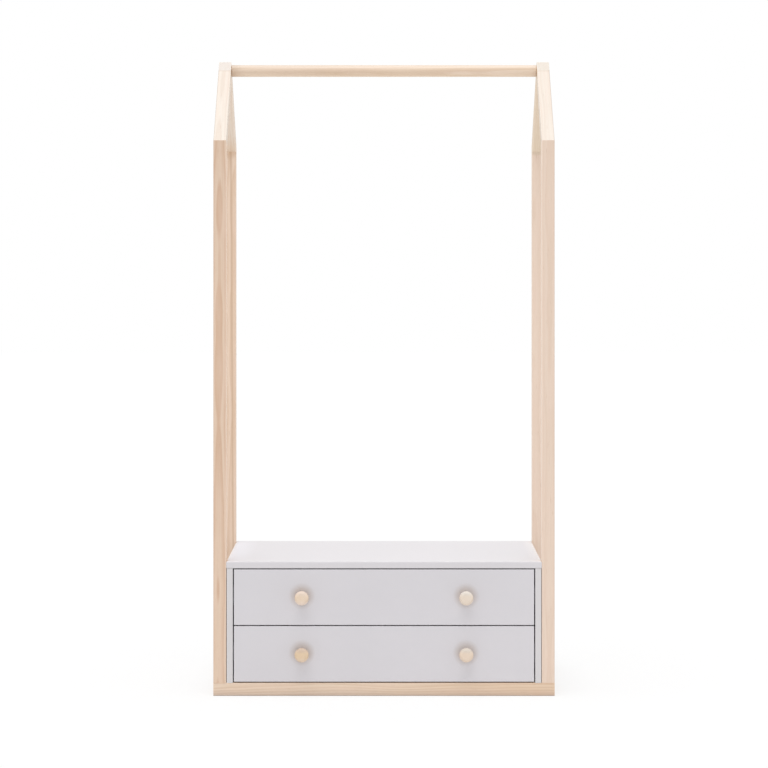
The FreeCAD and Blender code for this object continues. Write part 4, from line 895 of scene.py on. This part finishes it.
def add_strip(built, mesh, axes, origin):
    """Lays a strip into a mesh that is being built: axes say where its x, y and z point."""
    first = len(built.verts)
    built.from_mesh(mesh)
    built.verts.ensure_lookup_table()
    for vertex in built.verts[first:]:
        x, y, z = vertex.co
        vertex.co = origin + axes[0] * x + axes[1] * y + axes[2] * z


def add_ball(built, place):
    ball = bmesh.ops.create_icosphere(built, subdivisions=BALL_SUBDIVISIONS, radius=BALL / 2,
                                      matrix=Matrix.Translation(place))
    for vertex in ball["verts"]:
        for face in vertex.link_faces:
            face.smooth = True
            face.material_index = 1


def add_mirrored(built):
    """Doubles what is built, mirrored from the right to the left."""
    right = list(built.verts) + list(built.edges) + list(built.faces)
    left = bmesh.ops.duplicate(built, geom=right)["geom"]
    for part in left:
        if isinstance(part, bmesh.types.BMVert):
            part.co.x = -part.co.x
    faces = [part for part in left if isinstance(part, bmesh.types.BMFace)]
    bmesh.ops.reverse_faces(built, faces=faces)


def make_cages(level, kind, finishes):
    """Two folded strips with windows, for the left and right runner, and their rows of balls."""
    node = f"{level}_{kind}_cages"
    low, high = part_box(node)

    # The node's thick edges stand for the rows of balls: race is their height, reach their width,
    # and row how far a row of balls lies above or below the middle
    corners = [vertex.co for vertex in nodes[node].data.vertices]
    middle = (low.z + high.z) / 2
    half = high.z - middle
    race = half - min(abs(corner.z - middle) for corner in corners)
    reach = high.x - min(abs(corner.x) for corner in corners)
    row = half - race / 2
    length = high.y - low.y

    built = bmesh.new()
    pitch = length / WINDOWS
    windows = [oblong(row, pitch * (count + 0.5), row / 2, pitch * WINDOW_SHARE / 2)
               for count in range(WINDOWS)]
    web = pierced_strip(2 * row, length, windows)
    web_corner = Vector((high.x - CAGE_SHEET / 2, low.y, middle - row))
    add_strip(built, web, (UP, BACK, RIGHT), web_corner)

    balls = math.floor(length / BALL_PITCH)
    first_ball = (length - (balls - 1) * BALL_PITCH) / 2
    spots = [first_ball + count * BALL_PITCH for count in range(balls)]
    holes = [oblong(reach / 2, spot, BALL_HOLE / 2, BALL_HOLE / 2) for spot in spots]
    edge = pierced_strip(reach, length, holes)
    rows = (middle - row, middle + row)
    for height in rows:
        add_strip(built, edge, (-RIGHT, BACK, UP), Vector((high.x, low.y, height)))
    for height in rows:
        for spot in spots:
            add_ball(built, (high.x - reach / 2, low.y + spot, height))

    bmesh.ops.remove_doubles(built, verts=built.verts, dist=SAME_POINT)
    add_mirrored(built)
    mesh = bpy.data.meshes.new(f"{level}_{kind}_ball_cages")
    built.to_mesh(mesh)
    built.free()
    for finish in finishes:
        mesh.materials.append(finish)
    piece = bpy.data.objects.new(mesh.name, mesh)
    bpy.context.scene.collection.objects.link(piece)
    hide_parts(node)
    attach(piece, f"{node}_pair")


# Studio

def seen_directly(tree):
    """1 for the eye and for what mirrors or passes light, 0 for light on the object."""
    path = tree.nodes.new("ShaderNodeLightPath")
    level = path.outputs["Is Camera Ray"]
    for name in ("Is Glossy Ray", "Is Transmission Ray"):
        highest = tree.nodes.new("ShaderNodeMath")
        highest.operation = "MAXIMUM"
        tree.links.new(level, highest.inputs[0])
        tree.links.new(path.outputs[name], highest.inputs[1])
        level = highest.outputs[0]
    return level


def make_world():
    world = bpy.data.worlds.new("studio")
    bpy.context.scene.world = world
    world.use_nodes = True
    tree = world.node_tree
    dome = tree.nodes["Background"]
    dome.inputs["Color"].default_value = WHITE
    dome.inputs["Strength"].default_value = DOME_LEVEL
    white = tree.nodes.new("ShaderNodeBackground")
    white.inputs["Color"].default_value = WHITE
    white.inputs["Strength"].default_value = 1
    either = tree.nodes.new("ShaderNodeMixShader")
    tree.links.new(seen_directly(tree), either.inputs["Fac"])
    tree.links.new(dome.outputs[0], either.inputs[1])
    tree.links.new(white.outputs[0], either.inputs[2])
    tree.links.new(either.outputs[0], tree.nodes["World Output"].inputs["Surface"])


def make_lamp():
    """One very broad lamp overhead, a little towards the camera."""
    data = bpy.data.lights.new("overhead", "SUN")
    data.energy = LAMP_LEVEL
    data.angle = math.radians(LAMP_SPREAD)
    lamp = bpy.data.objects.new("overhead", data)
    lamp.rotation_euler = (math.radians(LAMP_TILT_FORWARD), math.radians(LAMP_TILT_SIDE), 0)
    bpy.context.scene.collection.objects.link(lamp)


def open_floor(finish):
    """0 under the wardrobe, where only its shade is to be seen, and 1 on the rest of the floor."""
    high = cad_box[1]
    x, y, _ = finish.split(finish.point)
    aside = finish.compute("LESS_THAN", finish.compute("ABSOLUTE", x), high[0])
    behind = finish.compute("GREATER_THAN", y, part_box("front_base_rail")[0].y)
    before = finish.compute("LESS_THAN", y, high[1])
    return finish.minus(1, finish.times(aside, finish.times(behind, before)))


def make_floor():
    """A white floor that fades into the white behind it and keeps the wardrobe's soft shadow."""
    half = FLOOR_SIZE / 2
    mesh = bpy.data.meshes.new("floor")
    corners = [(-half, -half, 0), (half, -half, 0), (half, half, 0), (-half, half, 0)]
    mesh.from_pydata(corners, [], [(0, 1, 2, 3)])
    floor = bpy.data.objects.new("floor", mesh)
    bpy.context.scene.collection.objects.link(floor)
    finish = Finish("floor")
    tree = finish.tree
    tree.nodes.remove(finish.shader)
    plain = finish.add("ShaderNodeBsdfDiffuse", FLOOR_WHITE)
    glow = finish.times(open_floor(finish), FLOOR_SHOWN_LIT)
    lit = finish.add("ShaderNodeEmission", None, glow)
    shaded = finish.add("ShaderNodeBsdfDiffuse", FLOOR_SHOWN_SHADED)
    both = finish.add("ShaderNodeAddShader", lit.outputs[0], shaded.outputs[0])
    either = finish.add("ShaderNodeMixShader", seen_directly(tree), plain.outputs[0],
                        both.outputs[0])
    tree.links.new(either.outputs[0], tree.nodes["Material Output"].inputs["Surface"])
    mesh.materials.append(finish.material)


def make_camera():
    data = bpy.data.cameras.new("camera")
    data.sensor_width = SENSOR
    data.lens = LENS
    data.shift_y = -SHIFT_DOWN
    camera = bpy.data.objects.new("camera", data)
    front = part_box("front_left_post")[0].y
    camera.location = (0, front - CAMERA_DISTANCE, CAMERA_HEIGHT)
    camera.rotation_euler = (QUARTER_TURN, 0, 0)
    bpy.context.scene.collection.objects.link(camera)
    bpy.context.scene.camera = camera


bpy.context.scene.view_settings.view_transform = "Standard"
make_camera()
make_world()
make_lamp()
make_floor()
paint_timbers()
paint_lacquer()
paint_boards()
paint_knobs()
paint_fittings()
